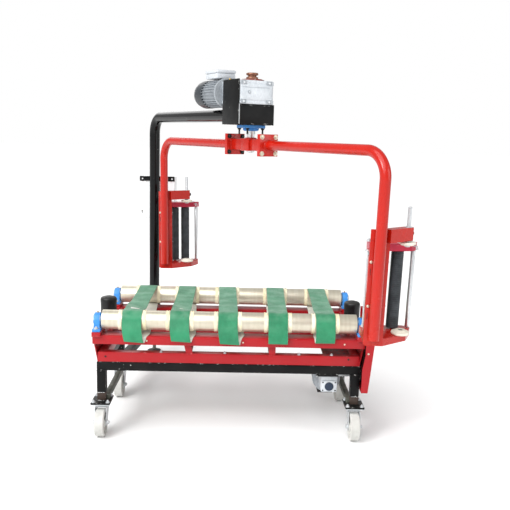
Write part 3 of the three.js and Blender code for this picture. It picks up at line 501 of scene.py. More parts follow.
class Look(Enum):
    """The finishes that pieces wear."""

    BLACK = "black_paint"
    MAST_BLACK = "mast_paint"
    PRIMER = "primer"
    OLIVE = "olive_paint"
    RED = "red_paint"
    ORANGE = "orange_paint"
    CRIMSON = "crimson_paint"
    # a darker copy of the table red that paints shade on the recessed perforated plate
    RED_IN_SHADE = "dark_red_paint"
    BLUE = "blue_paint"
    CABINET = "cabinet_coat"
    ZINC = "zinc"
    YELLOW_ZINC = "yellow_zinc"
    CASTING = "casting"
    FINS = "motor_casting"
    PALE_STEEL = "pale_steel"
    BRONZE = "bronze"
    FLANGE = "flange_red"
    CHAIN = "chain_steel"
    BRASS = "brass"
    COWL = "cowl_paint"
    TERMINAL = "terminal_coat"
    NAVY = "navy_cap"
    NYLON = "white_nylon"
    IVORY = "nylon"
    COLLAR = "collar"
    RUBBER = "rubber"
    FILM_RUBBER = "film_rubber"
    BLACK_PLASTIC = "black_plastic"
    BELT = "belt_top"
    BELT_BACK = "belt_back"
    FLOOR = "floor"


@dataclass
class Part:
    """One finished mesh waiting for its materials."""

    name: str
    solid: Solid
    body: str
    looks: tuple[Look, ...]
    nodes: tuple[str, ...] = ()
    slot: str = ""


@dataclass
class Assembly:
    """A sub-assembly: build() makes its meshes, dress() gives them materials and bodies."""

    parts: list[Part] = field(default_factory=list)

    def keep(self, name: str, solid: Solid, body: str, looks: tuple[Look, ...],
             nodes: tuple[str, ...] = (), slot: str = "") -> None:
        """Notes a mesh for dressing.

        Args:
            name: the piece's name.
            solid: its mesh.
            body: the CAD body it rides on.
            looks: the finish of each material slot.
            nodes: CAD nodes it stands for.
            slot: material slot of the record; it is kept on the part and not used.
        """
        self.parts.append(Part(name, solid, body, looks, nodes, slot))

    def dress(self, finishes: "Finishes") -> None:
        """Turns the meshes into objects with materials, each riding on its body.

        Args:
            finishes: the shop that makes materials.
        """
        for part in self.parts:
            mesh = bpy.data.meshes.new(part.name)
            part.solid.bm.to_mesh(mesh)
            part.solid.bm.free()
            mesh.set_sharp_from_angle(angle=SMOOTH_ANGLE)
            for look in part.looks:
                mesh.materials.append(finishes.material(look))
            piece = new_object(part.name, mesh)
            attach(piece, part.body)
            if part.nodes:
                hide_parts(*part.nodes)
        LOG.info("%s: %d pieces", type(self).__name__, len(self.parts))


# ------------------------------------------------------------------ finishes
@dataclass(frozen=True)
class Paint:
    """Sprayed or powder coat over steel."""

    colour: str
    # pale tint on rubbed edges and chipped spots, and the amounts below that spread it: partly paint
    # loss, partly painted edge highlights and glints
    chip_and_glint: str
    roughness: float
    edge_wear_and_highlight: float = 0.35
    chips_and_glints: float = 0.0
    dust: float = 0.12
    peel: float = 0.05
    coat: float = 0.08
    variation: float = 0.1
    specular: float = 0.35


@dataclass(frozen=True)
class Metal:
    """Bare or plated metal."""

    colour: str
    dark: str
    roughness: float
    grain: float = 0.15
    scale: float = 60.0
    metallic: float = 1.0
    cast: float = 0.0


@dataclass(frozen=True)
class Moulded:
    """Plastic or rubber."""

    colour: str
    dark: str
    roughness: float
    scale: float = 40.0
    bump: float = 0.04
    dust: float = 0.1
    specular: float = 0.35


@dataclass(frozen=True)
class Woven:
    """Belt material with a fine weave."""

    colour: str
    dark: str
    pitch: float
    roughness: float
    sheen: float = 0.2


FINISHES: dict[Look, Paint | Metal | Moulded | Woven] = {
    Look.BLACK: Paint("040506", "c9cbc8", 0.42, edge_wear_and_highlight=0.45, chips_and_glints=0.6, dust=0.05, coat=0.0, specular=0.2),
    Look.MAST_BLACK: Paint("030405", "d9dad8", 0.16, edge_wear_and_highlight=0.2, chips_and_glints=0.3, dust=0.0, coat=0.0,
                           specular=0.28),
    Look.PRIMER: Paint("392b24", "a5a19a", 0.6, edge_wear_and_highlight=0.4, chips_and_glints=0.2, dust=0.2, coat=0.0),
    Look.OLIVE: Paint("4c4e45", "c9c9c2", 0.5, edge_wear_and_highlight=0.3, chips_and_glints=0.2, dust=0.2, coat=0.0),
    Look.RED: Paint("a80b17", "e58f8d", 0.34, edge_wear_and_highlight=0.3, chips_and_glints=0.1, dust=0.05),
    Look.ORANGE: Paint("b81a0b", "ffa08a", 0.24, edge_wear_and_highlight=0.22, chips_and_glints=0.05, dust=0.0, coat=0.1,
                       specular=0.4),
    Look.CRIMSON: Paint("b8183a", "e79aa5", 0.36, edge_wear_and_highlight=0.25, chips_and_glints=0.08, dust=0.05),
    Look.RED_IN_SHADE: Paint("7c0e12", "c98f8a", 0.45, edge_wear_and_highlight=0.3, chips_and_glints=0.1, dust=0.12, coat=0.0),
    Look.BLUE: Paint("3b8cd8", "d8e4ec", 0.4, edge_wear_and_highlight=0.5, chips_and_glints=0.3, dust=0.05, peel=0.25),
    Look.CABINET: Paint("f3f4f5", "b9bcbe", 0.45, edge_wear_and_highlight=0.12, dust=0.03, peel=0.12, variation=0.03),
    Look.TERMINAL: Paint("c9ced3", "9fa4a8", 0.42, edge_wear_and_highlight=0.3, dust=0.06, peel=0.2),
    Look.COWL: Paint("31363b", "8e9398", 0.42, edge_wear_and_highlight=0.3, dust=0.06, peel=0.15),
    Look.NAVY: Paint("233247", "7d8894", 0.44, edge_wear_and_highlight=0.3, dust=0.06, peel=0.1),
    Look.FLANGE: Paint("7b3527", "c7a292", 0.5, edge_wear_and_highlight=0.4, chips_and_glints=0.2, dust=0.1, peel=0.2, coat=0.0),
    Look.ZINC: Metal("dadddf", "b3b8bb", 0.36, grain=0.1, scale=90, metallic=0.55),
    Look.YELLOW_ZINC: Metal("ddd7c6", "cdc5b0", 0.36, grain=0.06, scale=9, metallic=0.7),
    Look.CASTING: Metal("dde2e6", "bcc3c9", 0.45, grain=0.08, scale=70, metallic=0.25, cast=0.3),
    Look.FINS: Metal("b4babf", "858b91", 0.42, grain=0.12, scale=60, metallic=0.35, cast=0.25),
    Look.PALE_STEEL: Metal("e6e8e9", "c3c7c9", 0.3, grain=0.1, scale=80),
    Look.BRONZE: Metal("a87862", "6a4c40", 0.4, grain=0.15, scale=70, metallic=0.7),
    Look.BRASS: Metal("d3a94e", "8f6d2c", 0.3, grain=0.2, scale=90),
    Look.CHAIN: Metal("4a4a4a", "201f1e", 0.42, grain=0.25, scale=120),
    Look.NYLON: Moulded("d6d6d2", "bfbfba", 0.4, scale=30, bump=0.05, dust=0.06),
    Look.IVORY: Moulded("f1ece0", "d9d2c0", 0.44, scale=30, bump=0.05, dust=0.06),
    Look.COLLAR: Moulded("f4ecd2", "ddd2ac", 0.46, scale=40, bump=0.05, dust=0.06),
    Look.RUBBER: Moulded("0f1012", "060708", 0.4, scale=70, bump=0.12, dust=0.1),
    Look.FILM_RUBBER: Moulded("44494d", "2e3235", 0.42, scale=90, bump=0.1, dust=0.03, specular=0.25),
    Look.BLACK_PLASTIC: Moulded("131416", "08090a", 0.42, scale=120, bump=0.06, dust=0.05),
    Look.BELT: Woven("178a5c", "0d6a45", 0.0016, 0.6),
    Look.BELT_BACK: Woven("efefe6", "c4c4b8", 0.0014, 0.8),
    Look.FLOOR: Moulded("fbfbfb", "f9f9f9", 0.8, scale=3, bump=0.01, dust=0.0, specular=0.1),
}


class Wires:
    """Adds nodes to one tree and joins them up."""

    def __init__(self, tree: bpy.types.NodeTree) -> None:
        """Starts on a tree.

        Args:
            tree: a material's or a group's tree.
        """
        self.tree = tree

    def add(self, kind: str, sources: dict | None = None, **settings: object) -> bpy.types.Node:
        """Adds a node.

        Args:
            kind: the node's type.
            sources: input name or number to a value or to another node's output.
            settings: the node's own properties.

        Returns:
            The node.
        """
        node = self.tree.nodes.new(kind)
        for key, value in settings.items():
            setattr(node, key, value)
        for key, value in (sources or {}).items():
            if isinstance(value, bpy.types.NodeSocket):
                self.tree.links.new(value, node.inputs[key])
            else:
                node.inputs[key].default_value = value
        return node

    def maths(self, operation: str, *values: object) -> bpy.types.NodeSocket:
        """Adds a sum and returns its result.

        Args:
            operation: name of the operation.
            values: its numbers or sockets.

        Returns:
            The result's socket.
        """
        node = self.add("ShaderNodeMath", dict(enumerate(values)), operation=operation)
        return node.outputs[0]

    def ramp(self, value: bpy.types.NodeSocket, low: float, high: float, start: float = 0.0,
             end: float = 1.0) -> bpy.types.NodeSocket:
        """Maps a range smoothly to another.

        Args:
            value: what is mapped.
            low: value that gives start.
            high: value that gives end.
            start: result at low.
            end: result at high.

        Returns:
            The result's socket.
        """
        node = self.add("ShaderNodeMapRange", {0: value, 1: low, 2: high, 3: start, 4: end},
                        interpolation_type="SMOOTHSTEP")
        return node.outputs[0]

    def blend(self, factor: object, first: object, second: object) -> bpy.types.NodeSocket:
        """Mixes two colours.

        Args:
            factor: share of the second one.
            first: a colour or its socket.
            second: a colour or its socket.

        Returns:
            The mixed colour's socket.
        """
        node = self.add("ShaderNodeMix", {0: factor, 6: first, 7: second}, data_type="RGBA")
        return node.outputs[2]

    def place(self) -> bpy.types.NodeSocket:
        """Adds the object's own coordinates and returns their socket."""
        return self.add("ShaderNodeTexCoord").outputs["Object"]

    def noise(self, at: bpy.types.NodeSocket, scale: object, detail: float) -> bpy.types.Node:
        """Adds a noise pattern.

        Args:
            at: the coordinates.
            scale: its scale or the scale's socket.
            detail: its detail.

        Returns:
            The node.
        """
        return self.add("ShaderNodeTexNoise", {"Vector": at, "Scale": scale, "Detail": detail})

    def group(self, tree: bpy.types.NodeTree, **numbers: float) -> bpy.types.NodeSocket:
        """Adds a shared group.

        Args:
            tree: the group.
            numbers: its inputs.

        Returns:
            The socket of its result.
        """
        return self.add("ShaderNodeGroup", numbers, node_tree=tree).outputs[0]

    def finish(self, shader: bpy.types.Node, colour: bpy.types.NodeSocket, rough: bpy.types.NodeSocket,
               normal: bpy.types.NodeSocket, numbers: dict[str, float]) -> None:
        """Joins a material's results to its shader.

        Args:
            shader: the shader.
            colour: socket of the colour.
            rough: socket of the roughness.
            normal: socket of the normal.
            numbers: the shader's other inputs.
        """
        for key, value in (("Base Color", colour), ("Roughness", rough), ("Normal", normal)):
            self.tree.links.new(value, shader.inputs[key])
        for key, value in numbers.items():
            shader.inputs[key].default_value = value


class Finishes:
    """Makes each material once, from shared groups that give masks, values and normals."""

    def __init__(self) -> None:
        """Makes the shared groups."""
        self.made: dict[Look, bpy.types.Material] = {}
        self.wear_and_highlight_group = self._edge_wear_and_highlight_mask()
        self.mottle_group = self._mottle()
        self.dust_and_toplight_group = self._dust_and_toplight()
        self.relief_group = self._relief()
        self.chip_and_glint_group = self._chips_and_glints()
        self.streak_group = self._streaks()
        self.weave_group = self._weave()

    @staticmethod
    def _group(name: str, inputs: dict[str, float], outputs: dict[str, str]) -> tuple:
        """Starts a node group.

        Args:
            name: the group's name.
            inputs: name to default number.
            outputs: name to socket type.

        Returns:
            The group, its wires, and its input and output nodes.
        """
        group = bpy.data.node_groups.new(name, "ShaderNodeTree")
        for key, value in inputs.items():
            socket = group.interface.new_socket(key, in_out="INPUT", socket_type="NodeSocketFloat")
            socket.default_value = value
        for key, kind in outputs.items():
            group.interface.new_socket(key, in_out="OUTPUT", socket_type=kind)
        wires = Wires(group)
        return group, wires, wires.add("NodeGroupInput").outputs, wires.add("NodeGroupOutput").inputs

    def _edge_wear_and_highlight_mask(self) -> bpy.types.NodeTree:
        """Makes the mask of rubbed edges, which also places painted edge highlights.

        Returns:
            The group.
        """
        group, w, given, out = self._group("edge_wear_and_highlight_group", {"Amount": 0.3, "Scale": 60.0},
                                           {"Mask": "NodeSocketFloat"})
        rounded = w.add("ShaderNodeBevel", {"Radius": 0.003}, samples=4).outputs[0]
        flat = w.add("ShaderNodeNewGeometry").outputs["Normal"]
        same = w.add("ShaderNodeVectorMath", {0: rounded, 1: flat},
                     operation="DOT_PRODUCT").outputs["Value"]
        edge = w.ramp(same, 0.995, 0.9)
        at = w.place()
        patches = w.noise(at, given["Scale"], 5.0).outputs[0]
        limit = w.maths("SUBTRACT", 0.78, w.maths("MULTIPLY", given["Amount"], 0.45))
        patchy = w.ramp(w.maths("SUBTRACT", patches, limit), -0.03, 0.05)
        w.tree.links.new(w.maths("MULTIPLY", edge, patchy), out["Mask"])
        return group

    def _mottle(self) -> bpy.types.NodeTree:
        """Makes a soft uneven value.

        Returns:
            The group.
        """
        group, w, given, out = self._group("mottle", {"Scale": 12.0}, {"Value": "NodeSocketFloat"})
        at = w.place()
        broad = w.noise(at, given["Scale"], 3.0).outputs[0]
        fine = w.noise(at, w.maths("MULTIPLY", given["Scale"], 7.0), 4.0).outputs[0]
        both = w.maths("ADD", w.maths("MULTIPLY", broad, 0.7), w.maths("MULTIPLY", fine, 0.3))
        w.tree.links.new(w.ramp(both, 0.3, 0.7), out["Value"])
        return group

    def _dust_and_toplight(self) -> bpy.types.NodeTree:
        """Makes the mask of faces that look up: dust on paints and plastics, and on the belts dust
        together with painted light from above.

        Returns:
            The group.
        """
        group, w, given, out = self._group("dust", {"Amount": 0.2}, {"Mask": "NodeSocketFloat"})
        up = w.add("ShaderNodeSeparateXYZ",
                   {0: w.add("ShaderNodeNewGeometry").outputs["Normal"]}).outputs[2]
        level = w.ramp(up, 0.2, 0.95, 0.12, 1.0)
        at = w.place()
        cloud = w.noise(at, 18.0, 6.0).outputs[0]
        cover = w.maths("MULTIPLY", level, w.ramp(cloud, 0.35, 0.72))
        w.tree.links.new(w.maths("MULTIPLY", cover, given["Amount"]), out["Mask"])
        return group

    def _relief(self) -> bpy.types.NodeTree:
        """Makes a finely uneven surface.

        Returns:
            The group.
        """
        group, w, given, out = self._group("relief", {"Scale": 250.0, "Strength": 0.1},
                                           {"Normal": "NodeSocketVector"})
        at = w.place()
        height = w.noise(at, given["Scale"], 3.0).outputs[0]
        bump = w.add("ShaderNodeBump", {"Strength": given["Strength"], "Distance": 0.0008,
                                        "Height": height})
        w.tree.links.new(bump.outputs[0], out["Normal"])
        return group

    def _chips_and_glints(self) -> bpy.types.NodeTree:
        """Makes the mask of small scattered chipped spots and scuffs, which also places painted glints.

        Returns:
            The group.
        """
        group, w, given, out = self._group("chips_and_glints", {"Amount": 0.2}, {"Mask": "NodeSocketFloat"})
        at = w.place()
        wobble = w.noise(at, 160.0, 2.0).outputs["Color"]
        shifted = w.add("ShaderNodeVectorMath", {0: wobble, 1: (0.006, 0.006, 0.006), 2: at},
                        operation="MULTIPLY_ADD")
        cells = w.add("ShaderNodeTexVoronoi", {"Vector": shifted.outputs[0],
                                               "Scale": 55.0}).outputs["Distance"]
        where = w.noise(at, 9.0, 3.0).outputs[0]
        allowed = w.ramp(where, 0.55, 0.68)
        size = w.maths("MULTIPLY", w.maths("MULTIPLY", allowed, given["Amount"]), 0.32)
        spot = w.ramp(w.maths("SUBTRACT", size, cells), -0.01, 0.02)
        w.tree.links.new(w.maths("MULTIPLY", spot, w.ramp(allowed, 0.0, 0.2)), out["Mask"])
        return group

    def _streaks(self) -> bpy.types.NodeTree:
        """Makes fine scratches round and along a metal surface.

        Returns:
            The group.
        """
        group, w, given, out = self._group("streaks", {"Scale": 60.0}, {"Value": "NodeSocketFloat"})
        at = w.place()
        drawn = w.add("ShaderNodeVectorMath", {0: at, 1: (9.0, 1.0, 1.0)},
                      operation="MULTIPLY").outputs[0]
        lines = w.noise(drawn, given["Scale"], 6.0).outputs[0]
        w.tree.links.new(w.ramp(lines, 0.3, 0.7), out["Value"])
        return group

    def _weave(self) -> bpy.types.NodeTree:
        """Makes crossed threads.

        Returns:
            The group.
        """
        group, w, given, out = self._group("weave", {"Pitch": 0.0015}, {"Value": "NodeSocketFloat"})
        at = w.place()
        axes = w.add("ShaderNodeSeparateXYZ", {0: at}).outputs
        turns = w.maths("DIVIDE", 2 * math.pi, given["Pitch"])
        along = w.maths("SINE", w.maths("MULTIPLY", w.maths("ADD", axes[1], axes[2]), turns))
        over = w.maths("SINE", w.maths("MULTIPLY", axes[0], turns))
        w.tree.links.new(w.ramp(w.maths("MULTIPLY", along, over), -0.8, 0.8), out["Value"])
        return group

    def material(self, look: Look) -> bpy.types.Material:
        """Gives a finish's material.

        Args:
            look: the finish.

        Returns:
            The material, made the first time it is asked for.
        """
        if look not in self.made:
            recipe = FINISHES[look]
            makers = {Paint: self._paint, Metal: self._metal, Moulded: self._moulded, Woven: self._woven}
            self.made[look] = makers[type(recipe)](look.value, recipe)
        return self.made[look]

    @staticmethod
    def _start(name: str) -> tuple[bpy.types.Material, Wires, bpy.types.Node]:
        """Starts a material with its shader.

        Args:
            name: the material's name.

        Returns:
            The material, its wires and its shader.
        """
        made = bpy.data.materials.new(name)
        made.use_nodes = True
        return made, Wires(made.node_tree), made.node_tree.nodes["Principled BSDF"]

    def _paint(self, name: str, recipe: Paint) -> bpy.types.Material:
        """Makes a paint with rubbed edges and chipped spots in a pale tint that is partly paint loss and
        partly painted highlight and glint, dust and a slight orange peel.

        Args:
            name: the material's name.
            recipe: its colours and amounts.

        Returns:
            The material.
        """
        made, w, shader = self._start(name)
        colour = linear(recipe.colour)
        dull = tuple(c * (1 - recipe.variation) for c in colour[:3]) + (1.0,)
        mottle = w.group(self.mottle_group, Scale=PAINT_MOTTLE)
        base = w.blend(mottle, dull, colour)
        edge_wear_and_highlight = w.group(self.wear_and_highlight_group, Amount=recipe.edge_wear_and_highlight)
        worn_and_glint_mask = w.maths("MAXIMUM", edge_wear_and_highlight, w.group(self.chip_and_glint_group, Amount=recipe.chips_and_glints))
        dust = w.group(self.dust_and_toplight_group, Amount=recipe.dust)
        # the pale tint on rubbed edges and chipped spots is partly paint loss and partly painted edge
        # highlight and glint
        worn_and_glinted = w.blend(worn_and_glint_mask, base, linear(recipe.chip_and_glint))
        final_colour = w.blend(dust, worn_and_glinted, linear(DUST_COLOUR))
        relief = w.group(self.relief_group, Scale=PEEL_SCALE, Strength=recipe.peel)
        clean = w.ramp(mottle, 0, 1, recipe.roughness * 0.85, recipe.roughness * 1.2)
        rough = w.maths("ADD", clean, w.maths("MULTIPLY", w.maths("ADD", worn_and_glint_mask, dust), 0.3))
        w.finish(shader, final_colour, rough, relief, {"Specular IOR Level": recipe.specular,
                                                "Coat Weight": recipe.coat,
                                                "Coat Roughness": COAT_ROUGHNESS})
        return made

    def _metal(self, name: str, recipe: Metal) -> bpy.types.Material:
        """Makes a metal with fine scratches and darker patches.

        Args:
            name: the material's name.
            recipe: its colours and amounts.

        Returns:
            The material.
        """
        made, w, shader = self._start(name)
        streaks = w.group(self.streak_group, Scale=recipe.scale)
        mottle = w.group(self.mottle_group, Scale=recipe.scale / 4)
        both = w.maths("MULTIPLY", w.maths("ADD", streaks, mottle), 0.5)
        base = w.blend(both, linear(recipe.dark), linear(recipe.colour))
        relief = w.group(self.relief_group, Scale=CAST_SCALE if recipe.cast else recipe.scale * 8,
                         Strength=max(recipe.cast, recipe.grain * 0.5))
        rough = w.ramp(both, 0, 1, recipe.roughness + recipe.grain * 0.6, recipe.roughness)
        w.finish(shader, base, rough, relief, {"Metallic": recipe.metallic})
        return made

    def _moulded(self, name: str, recipe: Moulded) -> bpy.types.Material:
        """Makes a plastic or rubber with a slight grain and dust.

        Args:
            name: the material's name.
            recipe: its colours and amounts.

        Returns:
            The material.
        """
        made, w, shader = self._start(name)
        mottle = w.group(self.mottle_group, Scale=recipe.scale / 3)
        base = w.blend(mottle, linear(recipe.dark), linear(recipe.colour))
        final_colour = w.blend(w.group(self.dust_and_toplight_group, Amount=recipe.dust), base, linear(DUST_COLOUR))
        relief = w.group(self.relief_group, Scale=recipe.scale * 9, Strength=recipe.bump)
        rough = w.ramp(mottle, 0, 1, recipe.roughness * 1.15, recipe.roughness * 0.9)
        w.finish(shader, final_colour, rough, relief, {"Specular IOR Level": recipe.specular})
        return made

    def _woven(self, name: str, recipe: Woven) -> bpy.types.Material:
        """Makes a woven belt surface, lighter on up-facing faces where dust and painted light from above
        are laid on.

        Args:
            name: the material's name.
            recipe: its colours and thread pitch.

        Returns:
            The material.
        """
        made, w, shader = self._start(name)
        weave = w.group(self.weave_group, Pitch=recipe.pitch)
        mottle = w.group(self.mottle_group, Scale=BELT_MOTTLE)
        shade = w.maths("ADD", w.maths("MULTIPLY", weave, 0.25), w.maths("MULTIPLY", mottle, 0.75))
        base = w.blend(shade, linear(recipe.dark), linear(recipe.colour))
        # up-facing faces turn pale green: dust, with painted light from above
        final_colour = w.blend(w.group(self.dust_and_toplight_group, Amount=BELT_DUST_AND_TOPLIGHT), base, linear(BELT_DUST_AND_TOPLIGHT_COLOUR))
        bump = w.add("ShaderNodeBump", {"Strength": 0.25, "Distance": 0.0004, "Height": weave})
        rough = w.ramp(mottle, 0, 1, recipe.roughness, recipe.roughness * 0.75)
        w.finish(shader, final_colour, rough, bump.outputs[0], {"Sheen Weight": recipe.sheen})
        return made


# ------------------------------------------------------------------ where things are
@dataclass(frozen=True)
class Site:
    """Places and heights read from the frame that several sub-assemblies share."""

    bed: Vector
    foot: Vector
    spin: Vector
    joints: dict[str, dict]
    base_top: float
    plate_bottom: float
    rail_top: float
    roller_height: float

    def joint(self, name: str) -> tuple[Vector, Vector]:
        """Gives a hinge's place and direction.

        Args:
            name: the joint's name.

        Returns:
            A point on its axis, and the axis.
        """
        found = self.joints[name]
        return Vector(found["pos_m"]), Vector(found["axis"]).normalized()


def survey(record: dict) -> Site:
    """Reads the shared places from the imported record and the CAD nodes.

    Args:
        record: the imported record.

    Returns:
        The places.
    """
    mounts = {mount["name"]: Vector(mount["pos_m"]) for mount in record["mounts"]}
    joints = {joint["name"]: joint for joint in record["behaviour"]["joints"]}
    return Site(
        bed=mounts["bale_bed"],
        foot=mounts["levelling_foot"],
        spin=Vector(joints["arm_spin"]["pos_m"]),
        joints=joints,
        base_top=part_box("table_frame")[0].z - GAP,
        plate_bottom=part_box("caster_fork_front_left")[1].z + GAP,
        rail_top=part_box("roller_bearing_front_left")[0].z - 0.016 - GAP,
        roller_height=joints["front_roller_spin"]["pos_m"][2],
    )


CORNERS = {"front_left": (-1, -1), "front_right": (1, -1), "rear_left": (-1, 1), "rear_right": (1, 1)}


# ------------------------------------------------------------------ wheeled base
@dataclass
class WheeledBase(Assembly):
    """Black welded base with its caster plates, outrigger, mast socket and levelling foot."""

    half_length: float = 0.585
    half_depth: float = 0.265
    tube: float = 0.040
    stub: float = 0.038
    plate_x: float = 0.085
    plate_y: float = 0.105
    steel_plate: float = 0.008
    zinc_plate: float = 0.005
    stretcher: float = 0.025
    socket_radius: float = 0.0365
    socket_bottom: float = 0.112

    def build(self, site: Site) -> None:
        """Makes the base.

        Args:
            site: shared places.
        """
        tx, ty, top = site.bed.x, site.bed.y, site.base_top
        t = self.tube
        leg_bottom = site.plate_bottom + self.zinc_plate + self.steel_plate
        solid, zinc = Solid(), Solid()
        leg_x, leg_y = self.half_length - t / 2, self.half_depth - t / 2
        for side in (-1, 1):
            y = ty + side * leg_y
            solid.box((tx - self.half_length, y - t / 2, top - t),
                      (tx + self.half_length, y + t / 2, top), 0.004)
            x = tx + side * leg_x
            solid.box((x - t / 2, ty - leg_y + t / 2, top - t), (x + t / 2, ty + leg_y - t / 2, top),
                      0.004)
            sx = tx + side * (self.half_length - t)
            sz = leg_bottom + 0.010
            half = self.stretcher / 2
            solid.box((sx - half, ty - leg_y, sz - half), (sx + half, ty + leg_y, sz + half), 0.003,
                      slot=2)
        for sx, sy in CORNERS.values():
            x, y = tx + sx * leg_x, ty + sy * leg_y
            solid.box((x - t / 2, y - t / 2, leg_bottom + self.stub), (x + t / 2, y + t / 2, top - t),
                      0.004)
            core = t / 2 - 0.0006
            solid.box((x - core, y - core, leg_bottom), (x + core, y + core, leg_bottom + self.stub),
                      0.004, slot=1)
            px, py = self.plate_x / 2, self.plate_y / 2
            low = site.plate_bottom
            solid.box((x - px, y - py, low + self.zinc_plate), (x + px, y + py, leg_bottom), 0.001)
            for z, half_width in ((leg_bottom + self.stub, 0.015), (top - t, 0.019)):
                for start, end in ((-1.0, -0.35), (-0.2, 0.3), (0.5, 0.95)):
                    edge = y - t / 2 - 0.0003
                    solid.weld([(x + start * half_width, edge, z), (x + end * half_width, edge, z)],
                               0.0011, slot=3)
            zinc.box((x - px + 0.002, y - py + 0.002, low), (x + px - 0.002, y + py - 0.002,
                                                           low + self.zinc_plate - GAP), 0.0012)
            for ax, ay in QUARTERS:
                zinc.bolt((x + ax * 0.032, y + ay * 0.042, leg_bottom), Z_AXIS, 0.0075, stub=0.005)
            ring = [(x + a * (t / 2 + 0.001), y + b * (t / 2 + 0.001), leg_bottom + 0.001)
                    for a, b in ((-1, -1), (1, -1), (1, 1), (-1, 1))]
            solid.weld(ring, 0.0025, closed=True)
            for a in (-1, 1):
                solid.weld([(x - t / 2, y + a * (t / 2 + 0.0005), top - t),
                            (x + t / 2, y + a * (t / 2 + 0.0005), top - t)],
                           0.0022)
        self._outrigger(solid, site, leg_x, leg_y, leg_bottom)
        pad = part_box("drive_gearbox")
        solid.box((pad[0].x - 0.024, ty - self.half_depth, top - t - 0.010),
                  (pad[1].x - 0.004, ty - self.half_depth + 0.042, top - t + 0.001), 0.0015)
        self.keep("base_weldment", solid, ROOT, (Look.BLACK, Look.PRIMER, Look.OLIVE, Look.PALE_STEEL),
                  ("base_frame",), "black_paint")
        self.keep("caster_plates", zinc, ROOT, (Look.ZINC,), slot="zinc")

    def _outrigger(self, solid: Solid, site: Site, leg_x: float, leg_y: float,
                   leg_bottom: float) -> None:
        """Adds the two beams back to the mast, its socket and its foot.

        Args:
            solid: the base's mesh.
            site: shared places.
            leg_x: legs' distance from the middle along X.
            leg_y: legs' distance from the middle along Y.
            leg_bottom: height of the legs' lower end.
        """
        start = Vector((site.bed.x - leg_x, site.bed.y + leg_y, 0))
        run = Vector((site.foot.x, site.foot.y, 0)) - start
        half = self.tube / 2
        turn = Matrix.Translation(start) @ turned(X_AXIS, run.normalized())
        for z in (leg_bottom + half, site.base_top - half):
            solid.box((0, -half, z - half), (run.length - self.socket_radius + 0.004, half, z + half),
                      0.004, turn=turn)
        at = (site.foot.x, site.foot.y, 0)
        r = self.socket_radius
        solid.lathe(eased([(0, self.socket_bottom), (r, self.socket_bottom), (r, site.base_top),
                           (r - 0.0058, site.base_top), (r - 0.0058, self.socket_bottom + 0.006),
                           (0, self.socket_bottom + 0.006)], 0.001), at, segments=40)
        thread = [(0, 0.012)]
        for k in range(26):
            z = 0.012 + k * 0.004
            thread += [(0.0102, z), (0.0110, z + 0.002)]
        solid.lathe(thread + [(0, 0.116)], at, segments=24, slot=2)
        solid.bolt((at[0], at[1], self.socket_bottom), -Z_AXIS, 0.018)
        solid.lathe(eased([(0, 0), (0.042, 0), (0.042, 0.007), (0.022, 0.014), (0, 0.014)], 0.002), at,
                    segments=36)
        for z in (leg_bottom + self.tube, site.base_top - self.tube):
            edge = at[0] + r * 0.2, at[1] - r, z
            solid.weld([(edge[0] - 0.02, edge[1] + 0.002, z), (edge[0] + 0.02, edge[1] + 0.004, z)],
                       0.0025)


